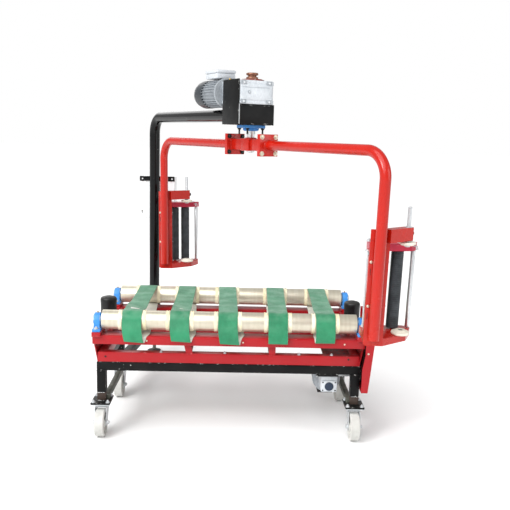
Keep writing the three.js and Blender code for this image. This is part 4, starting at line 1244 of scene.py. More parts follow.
@dataclass
class Casters(Assembly):
    """Four swivel casters with zinc forks and white nylon wheels."""

    radius: float = 0.0625
    half_tread: float = 0.021
    half_hub: float = 0.0228
    trail: float = 0.038
    cheek: float = 0.0036
    fork_end: float = 0.018

    def build(self, site: Site) -> None:
        """Makes the casters.

        Args:
            site: shared places.
        """
        for place in CORNERS:
            at, _ = site.joint(f"swivel_turn_{place}")
            self._fork(place, at, site.plate_bottom - 2 * GAP)
            self._wheel(place, at)

    def _fork(self, place: str, at: Vector, top: float) -> None:
        """Makes one fork with its axle.

        Args:
            place: the corner's name.
            at: a point on the swivel's axis.
            top: height of the fork's top.
        """
        solid = Solid()
        crown = top - 0.014
        solid.lathe(eased([(0, crown), (0.031, crown), (0.034, crown + 0.004), (0.029, crown + 0.008),
                           (0.029, top - 0.003), (0.026, top), (0, top)], 0.0015), (at.x, at.y, 0),
                           segments=40)
        inner = self.half_hub + 0.0006
        wide = inner + self.cheek
        solid.box((at.x - wide, at.y - 0.030, crown - 0.0005),
                  (at.x + wide, at.y + 0.030, crown + 0.0035), 0.0016)
        axle = Vector((0, at.y - self.trail, self.radius))
        arc = [(axle.y + self.fork_end * math.cos(a), axle.z + self.fork_end * math.sin(a))
               for a in (math.radians(d) for d in range(-190, 11, 20))]
        outline = arc + [(at.y + 0.030, crown + 0.002), (at.y - 0.042, crown + 0.002)]
        for side in (-1, 1):
            x = at.x + (inner if side > 0 else -wide)
            solid.plate(outline, (x, 0, 0), Y_AXIS, Z_AXIS, self.cheek, 0.0012)
            out = Vector((side, 0, 0))
            solid.bolt((at.x + side * wide, axle.y, axle.z), out, 0.0098,
                       stub=0.003 if side > 0 else 0.0)
        solid.rod(0.0056, (at.x - inner, axle.y, axle.z), (at.x + inner, axle.y, axle.z))
        self.keep(f"fork_{place}", solid, f"swivel_{place}", (Look.ZINC,), (f"caster_fork_{place}",),
                  "zinc")

    def _wheel(self, place: str, at: Vector) -> None:
        """Makes one wheel with its ribbed tread.

        Args:
            place: the corner's name.
            at: a point on the swivel's axis.
        """
        r, half, hub = self.radius, self.half_tread, self.half_hub
        outline = [(0.006, -hub), (0.017, -hub), (0.019, -hub + 0.004), (0.022, -0.012), (0.046, -0.012),
                   (0.050, -half), (r - 0.006, -half), (r - 0.0015, -half + 0.004)]
        grooves = 7
        for k in range(grooves):
            z = -half + 0.006 + k * (2 * half - 0.012) / (grooves - 1)
            outline += [(r, z - 0.0016), (r, z + 0.0008), (r - 0.0009, z + 0.0016),
                        (r - 0.0009, z + 0.0026)]
        outline += [(r - 0.0015, half - 0.004), (r - 0.006, half), (0.050, half), (0.046, 0.012),
                    (0.022, 0.012),
                    (0.019, hub - 0.004), (0.017, hub), (0.006, hub)]
        centre = (at.x, at.y - self.trail, r)
        solid = Solid()
        solid.lathe(outline, centre, X_AXIS, segments=64)
        for k in range(8):
            turn = Matrix.Translation(centre) @ Matrix.Rotation(k * math.pi / 4, 4, "X")
            for side in (-1, 1):
                low, high = sorted((side * 0.0115, side * 0.018))
                solid.box((low, 0.020, -0.0015), (high, 0.048, 0.0015), 0.0008, turn=turn)
        self.keep(f"wheel_{place}", solid, f"wheel_{place}", (Look.NYLON,), (f"caster_wheel_{place}",),
                  "nylon")


# ------------------------------------------------------------------ red table
@dataclass
class Table(Assembly):
    """Red welded frame that carries the rollers, with its cone pins and fixings."""

    half_length: float = 0.580
    half_depth: float = 0.265
    rail_depth: float = 0.040
    top_half_length: float = 0.597
    top_half_depth: float = 0.295
    top_rail_depth: float = 0.080
    side_rail: float = 0.050
    strap: float = 0.030
    straps: tuple[float, float] = (-0.181, 0.190)
    seat: tuple[float, float] = (0.038, 0.112)
    bearing_x: float = 0.578
    roller_y: float = 0.254

    def build(self, site: Site) -> None:
        """Makes the table frame.

        Args:
            site: shared places.
        """
        tx, ty = site.bed.x, site.bed.y
        low, top = site.base_top + GAP, site.rail_top
        low_top, high = low + 0.045, top - 0.040
        solid, metal = Solid(), Solid()
        for side in (-1, 1):
            y0, y1 = sorted((ty + side * self.half_depth,
                             ty + side * (self.half_depth - self.rail_depth)))
            solid.box((tx - self.half_length, y0, low), (tx + self.half_length, y1, low_top), 0.004)
            x0, x1 = sorted((tx + side * self.half_length,
                             tx + side * (self.half_length - self.rail_depth)))
            inner = self.half_depth - self.rail_depth
            solid.box((x0, ty - inner, low), (x1, ty + inner, low_top), 0.004)
            y0, y1 = sorted((ty + side * self.top_half_depth,
                             ty + side * (self.top_half_depth - self.top_rail_depth)))
            solid.box((tx - self.top_half_length, y0, high), (tx + self.top_half_length, y1, top), 0.004)
            x0, x1 = sorted((tx + side * self.top_half_length,
                             tx + side * (self.top_half_length - self.side_rail)))
            inner = self.top_half_depth - self.top_rail_depth
            solid.box((x0, ty - inner, high), (x1, ty + inner, top), 0.004)
            wide, narrow = side * self.top_half_length, side * self.half_length
            outline = [(narrow, low), (wide, high + 0.001), (wide - side * 0.004, high + 0.001),
                       (narrow - side * 0.004, low)]
            solid.plate([(x + tx, z) for x, z in outline], (0, ty + self.half_depth, 0), X_AXIS, Z_AXIS,
                        2 * self.half_depth, 0.0)
            self._cone_seat(solid, metal, Vector((tx + side * self.bearing_x, ty, top)))
            for end in (-1, 1):
                x, y = tx + side * self.bearing_x, ty + end * self.roller_y
                sx, sy = self.seat[0] / 2, self.seat[1] / 2
                solid.box((x - sx, y - sy, top - 0.001), (x + sx, y + sy, top + 0.016), 0.002)
                solid.weld([(x - sx, y - sy - 0.0005, top), (x + sx, y - sy - 0.0005, top)], 0.0025)
        self._straps(solid, metal, site, low_top, high)
        self._stiffener(solid, site, low_top)
        self.keep("table_weldment", solid, ROOT, (Look.RED, Look.RED_IN_SHADE, Look.BLACK_PLASTIC),
                  ("table_frame",), "red_paint")
        self.keep("table_fixings", metal, ROOT, (Look.ZINC, Look.YELLOW_ZINC, Look.BLACK_PLASTIC),
                  slot="zinc")

    @staticmethod
    def _cone_seat(solid: Solid, metal: Solid, at: Vector) -> None:
        """Adds a guide cone's boss and pin.

        Args:
            solid: the frame's mesh.
            metal: the fixings' mesh.
            at: middle of the boss on the rail.
        """
        solid.lathe(eased([(0, -0.001), (0.019, -0.001), (0.0162, 0.0135), (0, 0.0135)], 0.001), at,
                    segments=28)
        metal.rod(0.0088, at, at + Vector((0, 0, 0.095)))

    def _straps(self, solid: Solid, metal: Solid, site: Site, low: float, high: float) -> None:
        """Adds the cross straps, the posts between the rails, and screws in the gap.

        Args:
            solid: the frame's mesh.
            metal: the fixings' mesh.
            site: shared places.
            low: top of the lower rails.
            high: underside of the upper rails.
        """
        tx, ty = site.bed.x, site.bed.y
        half = self.strap / 2
        face = self.half_depth
        for index, x in enumerate(self.straps):
            at = tx + x
            solid.box((at - half, ty - face + 0.02, low - 0.005),
                      (at + half, ty + face - 0.02, low + 0.0005), 0.001)
            for side in (-1, 1):
                y0, y1 = sorted((ty + side * (face + 0.001), ty + side * (face - 0.009)))
                lean = 0.006 if index == 0 else 0.0
                outline = [(at - half + lean, low - 0.003), (at + half + lean, low - 0.003),
                           (at + half - lean, high + 0.003), (at - half - lean, high + 0.003)]
                solid.plate(outline, (0, y1, 0), X_AXIS, Z_AXIS, y1 - y0, 0.0008)
                edge = y0 - 0.0005 if side < 0 else y1 + 0.0005
                for z in (low, high):
                    solid.weld([(at - half, edge, z), (at + half, edge, z)], 0.0022)
        front = ty - self.half_depth
        for x in (-0.302, -0.02, 0.31, 0.455):
            metal.bolt((tx + x, front + 0.012, low), Z_AXIS, 0.006, stub=0.004)
        lane = ty - self.half_depth - 0.0004
        for x, z in ((0.530, low - 0.014), (-0.545, low - 0.02)):
            metal.disc(0.0045, 0.0006, (tx + x, lane, z), -Y_AXIS, 18, slot=2)
        for x, z in ((0.505, high + 0.020), (-0.36, high + 0.02), (0.06, high + 0.02)):
            metal.lathe([(0, 0), (0.004, 0), (0.0036, 0.0012), (0, 0.0018)],
                        (tx + x, ty - self.top_half_depth - 0.0002, z), -Y_AXIS, 16, slot=1)

    def _stiffener(self, solid: Solid, site: Site, low: float) -> None:
        """Adds the perforated plate over the gearbox, in a darker copy of the table red that paints its
        shade, with black discs that paint the shade seen through its holes.

        Args:
            solid: the frame's mesh.
            site: shared places.
            low: top of the lower rails.
        """
        tx, ty = site.bed.x, site.bed.y
        x0, x1 = tx + 0.419, tx + self.half_length - 0.041
        inner = self.half_depth - self.rail_depth
        # darker red: painted shade on the plate recessed under the upper rails
        solid.box((x0, ty - inner - 0.038, low - 0.004), (x1, ty + inner, low + 0.0005), 0.001, slot=1)
        # black discs stand for the holes: painted shade
        for row in range(4):
            for column in range(9):
                at = (x0 + 0.018 + row * 0.026, ty - inner + column * 0.048, low + 0.0004)
                solid.disc(0.0055, 0.0004, at, Z_AXIS, 18, slot=2)


@dataclass
class RollerBed(Assembly):
    """Front and rear rollers, the slack belts round them, their bearings and the guide cones."""

    radius: float = 0.0427
    half_length: float = 0.5575
    shaft: float = 0.015
    collar: float = 0.0446
    collar_width: float = 0.015
    roller_y: float = 0.254
    width: float = 0.085
    thickness: float = 0.0026
    front: tuple[float, ...] = (-0.425, -0.218, -0.008, 0.211, 0.419)
    rear: tuple[float, ...] = (-0.420, -0.223, -0.021, 0.221, 0.431)
    slip: tuple[float, ...] = (0.034, 0.026, 0.030, 0.004, -0.006)
    droop: tuple[float, ...] = (0.016, 0.010, 0.018, 0.012, 0.004)
    sag: tuple[float, ...] = (0.012, 0.009, 0.006, 0.007, 0.008)
    curl: tuple[float, ...] = (0.009, 0.006, 0.001, 0.0, -0.004)
    bearing_x: float = 0.578
    teeth: int = 18

    def build(self, site: Site) -> None:
        """Makes the rollers and what goes with them.

        Args:
            site: shared places.
        """
        for name, centres, side in (("front", self.front, -1), ("rear", self.rear, 1)):
            self._roller(site, name, centres, side)
        for index in range(len(self.front)):
            self._belt(site, index)
        for place, (sx, sy) in CORNERS.items():
            self._bearing(site, place, sx, sy)
        for name, side in (("left", -1), ("right", 1)):
            self._cone(site, name, side)

    def _roller(self, site: Site, name: str, centres: tuple[float, ...], side: int) -> None:
        """Makes one roller.

        Args:
            site: shared places.
            name: which roller.
            centres: middles of its belts, from the table's middle.
            side: sign of its Y from the table's middle.
        """
        solid = Solid()
        x, y, z = site.bed.x, site.bed.y + side * self.roller_y, site.roller_height
        r, half = self.radius, self.half_length
        stub = self.bearing_x + 0.022
        outline = [(0, -stub), (self.shaft, -stub), (self.shaft, -half + 0.006),
                   (r - 0.005, -half + 0.006),
                   (r - 0.005, -half), (r, -half), (r, half), (r - 0.005, half),
                   (r - 0.005, half - 0.006),
                   (self.shaft, half - 0.006), (self.shaft, stub), (0, stub)]
        solid.lathe(eased(outline, 0.0012), (x, y, z), X_AXIS, 72)
        for centre in centres:
            for end in (-1, 1):
                near = centre + end * (self.width / 2 + 0.003)
                start = min(near, near + end * self.collar_width)
                solid.ring(r - 0.0005, self.collar, (x + start, y, z), X_AXIS, self.collar_width, 1, 72)
                solid.bolt((x + start + self.collar_width / 2, y, z + self.collar - 0.0008), Z_AXIS,
                           0.0024,
                           slot=2, washer=False)
        if side < 0:
            self._sprocket(solid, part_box("drive_chain"), y, z)
        self.keep(f"roller_{name}", solid, f"{name}_roller", (Look.YELLOW_ZINC, Look.COLLAR, Look.CHAIN),
                  (f"{name}_roller",), "passivated_zinc")

    def _sprocket(self, solid: Solid, chain: tuple[Vector, Vector], y: float, z: float) -> None:
        """Adds the roller's chain sprocket.

        Args:
            solid: the roller's mesh.
            chain: the chain's box.
            y: the roller's Y.
            z: the roller's height.
        """
        x = (chain[0].x + chain[1].x) / 2
        solid.plate(toothed(self.teeth, 0.034, 0.0379), (x - 0.0025, y, z), Y_AXIS, Z_AXIS, 0.005,
                    0.0006, slot=2)
        solid.rod(self.shaft - 0.0004, (x - 0.012, y, z), (x + 0.010, y, z), slot=2)

    def _belt(self, site: Site, index: int) -> None:
        """Makes one belt, slack in front of the front roller.

        Args:
            site: shared places.
            index: the belt's number, from zero.
        """
        front_y, rear_y = site.bed.y - self.roller_y, site.bed.y + self.roller_y
        z = site.roller_height
        r = self.radius + 0.0006
        drop, slip = self.droop[index], self.slip[index]
        fore = site.bed.x + self.front[index]
        aft = site.bed.x + self.rear[index]
        path: list[tuple[float, float, float, float]] = []
        for k in range(13):
            share = k / 12
            sag = self.sag[index] * math.sin(math.pi * share ** 0.7)
            curl = -self.curl[index] * math.sin(math.pi * min(1.0, share * 2.2)) ** 2
            across = share ** 1.25
            path.append((fore + (aft - fore) * across, front_y + (rear_y - front_y) * share, z + r - sag,
                         curl))
        for k in range(1, 12):
            angle = math.pi / 2 - k / 12 * math.pi
            path.append((aft + slip * 0.1 * k / 12, rear_y + r * math.cos(angle),
                         z + r * math.sin(angle), 0.0))
        under = z - r
        rail = site.rail_top + 0.0035
        for k in range(13):
            share = k / 12
            sag = 0.004 * math.sin(math.pi * share)
            height = under + (rail + 0.004 - under) * share - sag
            path.append((aft + (fore - aft) * share + slip * (0.1 + 0.9 * share),
                         rear_y + (front_y - rear_y) * share,
                         height, 0.0))
        lip = site.bed.y - 0.295
        bulge = [(0.030, rail + 0.001), (0.012, rail), (0.002, rail - 0.001), (-0.0035, rail - 0.006),
                 (-0.0050, rail - 0.010 - drop * 0.6), (-0.0085, rail - 0.012 - drop),
                 (-0.0145, rail - 0.010 - drop), (-0.0185, rail - 0.003 - drop * 0.4),
                 (-0.0185, rail + 0.010), (-0.0150, rail + 0.028), (-0.0090, rail + 0.044)]
        for k, (out, height) in enumerate(bulge):
            share = k / (len(bulge) - 1)
            path.append((fore + slip * (1 - share) ** 1.3, lip + out, height,
                         slip * 0.10 * math.sin(math.pi * share)))
        for k in range(2, 12):
            angle = math.pi + math.radians(10) - k / 12 * (math.pi / 2 + math.radians(10))
            path.append((fore, front_y + r * math.cos(angle), z + r * math.sin(angle), 0.0))
        solid = Solid()
        self._strip(solid, path)
        self.keep(f"belt_{index + 1}_loop", solid, ROOT, (Look.BELT, Look.BELT_BACK),
                  (f"belt_{index + 1}",), "belt_green")

    def _strip(self, solid: Solid, path: list[tuple[float, float, float, float]]) -> None:
        """Adds a closed strip of belt, green outside and pale inside.

        Args:
            solid: the belt's mesh.
            path: (x, y, z, tilt) of the inner face's middle, all the way round.
        """
        part = bmesh.new()
        rings = []
        count = len(path)
        for k, (x, y, z, tilt) in enumerate(path):
            after, before = path[(k + 1) % count], path[k - 1]
            run = Vector((0, after[1] - before[1], after[2] - before[2])).normalized()
            out = X_AXIS.cross(run)
            half = self.width / 2
            middle = Vector((x, y, z))
            corners = []
            for side, level in ((-1, 0.0), (-1, 0.35), (-0.988, 1.0), (0.988, 1.0), (1, 0.35), (1, 0.0)):
                lift = level * self.thickness + side * tilt
                corners.append(part.verts.new(middle + X_AXIS * side * half + out * lift))
            rings.append(corners)
        for k in range(count):
            lower, upper = rings[k], rings[(k + 1) % count]
            for j in range(6):
                after = (j + 1) % 6
                part.faces.new((lower[j], lower[after], upper[after],
                                upper[j])).material_index = int(j == 5)
        solid.take(part, None)

    def _bearing(self, site: Site, place: str, sx: int, sy: int) -> None:
        """Makes one pillow block.

        Args:
            site: shared places.
            place: the corner's name.
            sx: sign of its X.
            sy: sign of its Y.
        """
        solid = Solid()
        x, y, z = site.bed.x + sx * self.bearing_x, site.bed.y + sy * self.roller_y, site.roller_height
        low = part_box(f"roller_bearing_{place}")[0].z
        solid.box((x - 0.018, y - 0.052, low), (x + 0.018, y + 0.052, low + 0.013), 0.004)
        outline = [(-0.039, low + 0.011), (0.039, low + 0.011), (0.033, low + 0.020),
                   (0.0305, z + 0.004),
                   (0.024, z + 0.019), (0.012, z + 0.029), (0, z + 0.031), (-0.012, z + 0.029),
                   (-0.024, z + 0.019), (-0.0305, z + 0.004), (-0.033, low + 0.020)]
        solid.plate([(y + a, b) for a, b in outline], (x - 0.013, 0, 0), Y_AXIS, Z_AXIS, 0.026, 0.003)
        solid.lathe(eased([(0.0155, -0.016), (0.026, -0.016), (0.027, -0.012), (0.027, 0.012),
                           (0.026, 0.016), (0.0155, 0.016)], 0.001), (x, y, z), X_AXIS, 40)
        solid.ring(0.0154, 0.0225, (x - 0.0165, y, z), X_AXIS, 0.033, 1, 40)
        solid.ring(0.0151, 0.0185, (x - 0.0205, y, z), X_AXIS, 0.041, 1, 40)
        for end in (-1, 1):
            solid.bolt((x, y + end * 0.044, low + 0.013), Z_AXIS, 0.0075, slot=1, stub=0.004)
        solid.rod(0.003, (x, y, z + 0.029), (x, y, z + 0.037), slot=2)
        self.keep(f"pillow_block_{place}", solid, ROOT, (Look.BLUE, Look.ZINC, Look.BRASS),
                  (f"roller_bearing_{place}",), "bearing_blue")

    def _cone(self, site: Site, name: str, side: int) -> None:
        """Makes one rubber guide cone.

        Args:
            site: shared places.
            name: which side.
            side: sign of its X.
        """
        low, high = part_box(f"guide_cone_{name}")
        top = high.z - 0.006
        outline = [(0.0094, low.z), (0.0355, low.z), (0.037, low.z + 0.003), (0.0375, top - 0.030)]
        outline += [(0.0385, top - 0.014), (0.0375, top - 0.005), (0.032, top + 0.001),
                    (0.020, top + 0.0045), (0.0094, top + 0.006)]
        solid = Solid()
        at = (site.bed.x + side * self.bearing_x, site.bed.y, 0)
        solid.lathe(eased(outline, 0.002), at, segments=56)
        solid.lathe([(0, top + 0.001), (0.0092, top + 0.001), (0.0085, top + 0.0045), (0, top + 0.0058)],
                    at, segments=24, slot=1)
        self.keep(f"cone_{name}", solid, f"cone_{name}", (Look.RUBBER, Look.BLACK_PLASTIC),
                  (f"guide_cone_{name}",), "black_rubber")


# ------------------------------------------------------------------ roller drive
@dataclass
class RollerDrive(Assembly):
    """Worm gearbox, motor, chain and guard that drive the front roller."""

    drop: float = 0.040
    wheel: float = 0.050
    low_sprocket: float = 0.026
    high_sprocket: float = 0.038
    link: float = 0.0085
    guard_step: float = 0.012
    guard_bend: float = 0.400

    def build(self, site: Site) -> None:
        """Makes the drive.

        Args:
            site: shared places.
        """
        at, _ = site.joint("drive_sprocket_spin")
        self._gearbox(at)
        self._motor(at)
        self._chain(at, Vector((0, site.bed.y - 0.254, site.roller_height)))
        self._guard(site)

    def _gearbox(self, at: Vector) -> None:
        """Makes the worm gearbox with its output shaft's seals.

        Args:
            at: middle of the worm wheel's shaft.
        """
        solid = Solid()
        x, y, z = at
        worm = z - self.drop
        solid.lathe(eased([(0.0105, -0.039), (0.030, -0.039), (0.030, -0.034), (0.0495, -0.034),
                           (0.0495, 0.034),
                           (0.030, 0.034), (0.030, 0.039), (0.0105, 0.039)], 0.002), at, X_AXIS, 48)
        solid.box((x - 0.036, y - 0.0555, worm - 0.0265), (x + 0.036, y + 0.0555, worm + 0.0265), 0.004)
        solid.box((x - 0.038, y - 0.050, z - 0.046), (x + 0.038, y + 0.050, z + 0.010), 0.006)
        for a, b in QUARTERS:
            at_face = (x + a * 0.028, y - 0.0555, worm + b * 0.019)
            solid.disc(0.0034, 0.0006, at_face, -Y_AXIS, 16, slot=1)
        solid.lathe(eased([(0, 0), (0.020, 0), (0.020, 0.004), (0.016, 0.0055), (0, 0.0055)], 0.001),
                    (x, y - 0.0553, worm), -Y_AXIS, 36, slot=2)
        for k in range(8):
            angle = k * math.pi / 4 + 0.3
            solid.bolt((x + 0.034, y + 0.040 * math.cos(angle), z + 0.040 * math.sin(angle)), X_AXIS,
                       0.0035,
                       slot=3, washer=False)
        self.keep("drive_gear_housing", solid, ROOT,
                  (Look.CASTING, Look.BLACK_PLASTIC, Look.NAVY, Look.ZINC),
                  ("drive_gearbox",), "casting")
        shaft = Solid()
        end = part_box("drive_sprocket")
        shaft.rod(0.0098, (end[0].x, y, z), (end[1].x, y, z))
        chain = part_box("drive_chain")
        middle = (chain[0].x + chain[1].x) / 2
        shaft.plate(toothed(12, 0.022, 0.0258), (middle - 0.0025, y, z), Y_AXIS, Z_AXIS, 0.005,
                    0.0006, slot=1)
        self.keep("drive_shaft", shaft, "drive_sprocket", (Look.ZINC, Look.CHAIN), ("drive_sprocket",),
                  "zinc")

    def _motor(self, at: Vector) -> None:
        """Makes the finned drive motor.

        Args:
            at: middle of the worm wheel's shaft.
        """
        low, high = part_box("drive_motor")
        x, z = at.x, at.z - self.drop
        solid = Solid()
        finned_motor(solid, Matrix.Translation((x, 0, z)), low.y, low.y + 0.010, high.y - 0.060, high.y,
                     0.056)
        solid.box((x - 0.036, low.y + 0.022, low.z), (x + 0.036, low.y + 0.100, low.z + 0.030), 0.003,
                  slot=2)
        self.keep("drive_motor_shell", solid, ROOT, (Look.FINS, Look.COWL, Look.BLACK_PLASTIC),
                  ("drive_motor",), "motor_grey")

    def _chain(self, low: Vector, high: Vector) -> None:
        """Makes the roller chain.

        Args:
            low: middle of the lower sprocket.
            high: middle of the upper sprocket.
        """
        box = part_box("drive_chain")
        x = (box[0].x + box[1].x) / 2
        centre_low, centre_high = Vector((low.y, low.z)), Vector((high.y, high.z))
        axis = centre_high - centre_low
        heading = math.atan2(axis.y, axis.x)
        small, large = self.low_sprocket + 0.0035, self.high_sprocket + 0.0035
        flare = math.acos((small - large) / axis.length)
        path: list[Vector] = []
        for centre, radius, start, sweep in ((centre_high, large, heading - flare, 2 * flare),
                                             (centre_low, small, heading + flare,
                                              2 * (math.pi - flare))):
            for k in range(19):
                a = start + sweep * k / 18
                path.append(Vector((x, centre.x + radius * math.cos(a),
                                    centre.y + radius * math.sin(a))))
        path.append(path[0].copy())
        solid = Solid()
        solid.tube(path[:-1], 0.0017, 8, closed=True)
        spots, left = [], 0.0
        for start, end in zip(path, path[1:]):
            length = (end - start).length
            while left < length:
                spots.append((start.lerp(end, left / length), (end - start).normalized()))
                left += self.link
            left -= length
        for k, (spot, run) in enumerate(spots):
            solid.rod(0.0026, spot - X_AXIS * 0.0044, spot + X_AXIS * 0.0044, 0.0004, 10)
            across = run.cross(X_AXIS).normalized()
            wide = 0.0043 if k % 2 else 0.0034
            for side in (-1, 1):
                frame = Matrix.Identity(4)
                frame.col[0][:3], frame.col[1][:3], frame.col[2][:3] = X_AXIS, run, across
                frame.col[3][:3] = spot + run * self.link / 2 + X_AXIS * side * wide
                solid.box((-0.0005, -0.0062, -0.0028), (0.0005, 0.0062, 0.0028), 0.0004, turn=frame)
        self.keep("drive_chain_links", solid, ROOT, (Look.CHAIN,), ("drive_chain",), "chain_steel")

    def _guard(self, site: Site) -> None:
        """Makes the folded guard over the chain.

        Args:
            site: shared places.
        """
        low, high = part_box("chain_guard")
        wall = 0.0025
        inner, foot = low.x + self.guard_step, low.x + self.guard_step + 0.017
        outline = [(low.x, low.z), (foot, low.z), (high.x, high.z), (inner, high.z),
                   (inner, self.guard_bend), (low.x, site.base_top)]
        solid = Solid()
        for y in (low.y + wall, high.y):
            solid.plate(outline, (0, y, 0), X_AXIS, Z_AXIS, wall, 0.0006)
        face = [(foot - wall, low.z), (foot, low.z), (high.x, high.z), (high.x - wall, high.z)]
        solid.plate(face, (0, high.y - 0.0002, 0), X_AXIS, Z_AXIS, high.y - low.y - 0.0004, 0.0006)
        for z0 in (low.z, high.z - wall):
            start, reach = (low.x, foot) if z0 == low.z else (inner, high.x)
            solid.box((start, low.y, z0), (reach - 0.0004, high.y, z0 + wall), 0.0008)
        lean = Vector((high.z - low.z, 0, foot - high.x)).normalized()
        for share_y, share_z in ((0.12, 0.12), (0.88, 0.12), (0.12, 0.88), (0.88, 0.88)):
            at = Vector((foot + (high.x - foot) * share_z, low.y + (high.y - low.y) * share_y,
                         low.z + (high.z - low.z) * share_z))
            solid.lathe([(0, 0), (0.0055, 0), (0.005, 0.0015), (0, 0.0026)], at - lean * 0.0002, lean,
                        20, slot=1)
        for z in (low.z + 0.18, low.z + 0.30):
            solid.lathe([(0, 0), (0.0045, 0), (0.004, 0.0012), (0, 0.002)], (inner + 0.012, low.y, z),
                        -Y_AXIS, 18,
                        slot=1)
        self.keep("chain_cover", solid, ROOT, (Look.RED, Look.YELLOW_ZINC), ("chain_guard",),
                  "red_paint")


def finned_motor(solid: Solid, place: Matrix, start: float, flange_end: float, body_end: float,
                 end: float,
                 radius: float) -> None:
    """Adds a motor along Y: mounting flange, finned barrel and fan cowl with its grille.

    Args:
        solid: the mesh to add to; slot 0 is the barrel, slot 1 the cowl, slot 2 the dark grille.
        place: where the motor's axis is.
        start: Y of the flange's face.
        flange_end: Y where the flange ends.
        body_end: Y where the barrel ends.
        end: Y of the cowl's end.
        radius: the barrel's radius.
    """
    at = place @ Vector((0, 0, 0))
    axis = (place.to_3x3() @ Y_AXIS).normalized()

    def on_axis(y: float) -> Vector:
        """Gives the point at y on the motor's axis."""
        return at + axis * y

    solid.lathe(eased([(0, 0), (radius + 0.009, 0), (radius + 0.009, flange_end - start),
                       (0, flange_end - start)],
                      0.002), on_axis(start), axis, 48)
    barrel = body_end - flange_end
    solid.lathe([(0, -0.001), (radius - 0.003, -0.001), (radius - 0.003, barrel), (0, barrel)],
                on_axis(flange_end), axis, 48)
    for k in range(30):
        turn = place @ Matrix.Rotation(k / 30 * 2 * math.pi, 4, "Y")
        solid.box((-0.0011, flange_end + 0.008, radius - 0.005),
                  (0.0011, body_end - 0.002, radius + 0.005), 0.0006,
                  turn=turn)
    length = end - body_end
    solid.lathe(eased([(0, 0.001), (radius + 0.004, 0.001), (radius + 0.0055, 0.004),
                       (radius + 0.0055, length * 0.7),
                       (radius - 0.001, length), (radius * 0.62, length),
                       (radius * 0.62, length - 0.002),
                       (0, length - 0.002)], 0.003), on_axis(body_end), axis, 48, slot=1)
    for share in (0.2, 0.36, 0.52):
        solid.ring(radius * share - 0.002, radius * share + 0.002, on_axis(end - 0.0021), axis, 0.0021,
                   1, 36)
    solid.disc(radius * 0.6, 0.0004, on_axis(end - 0.002), axis, 36, slot=2)


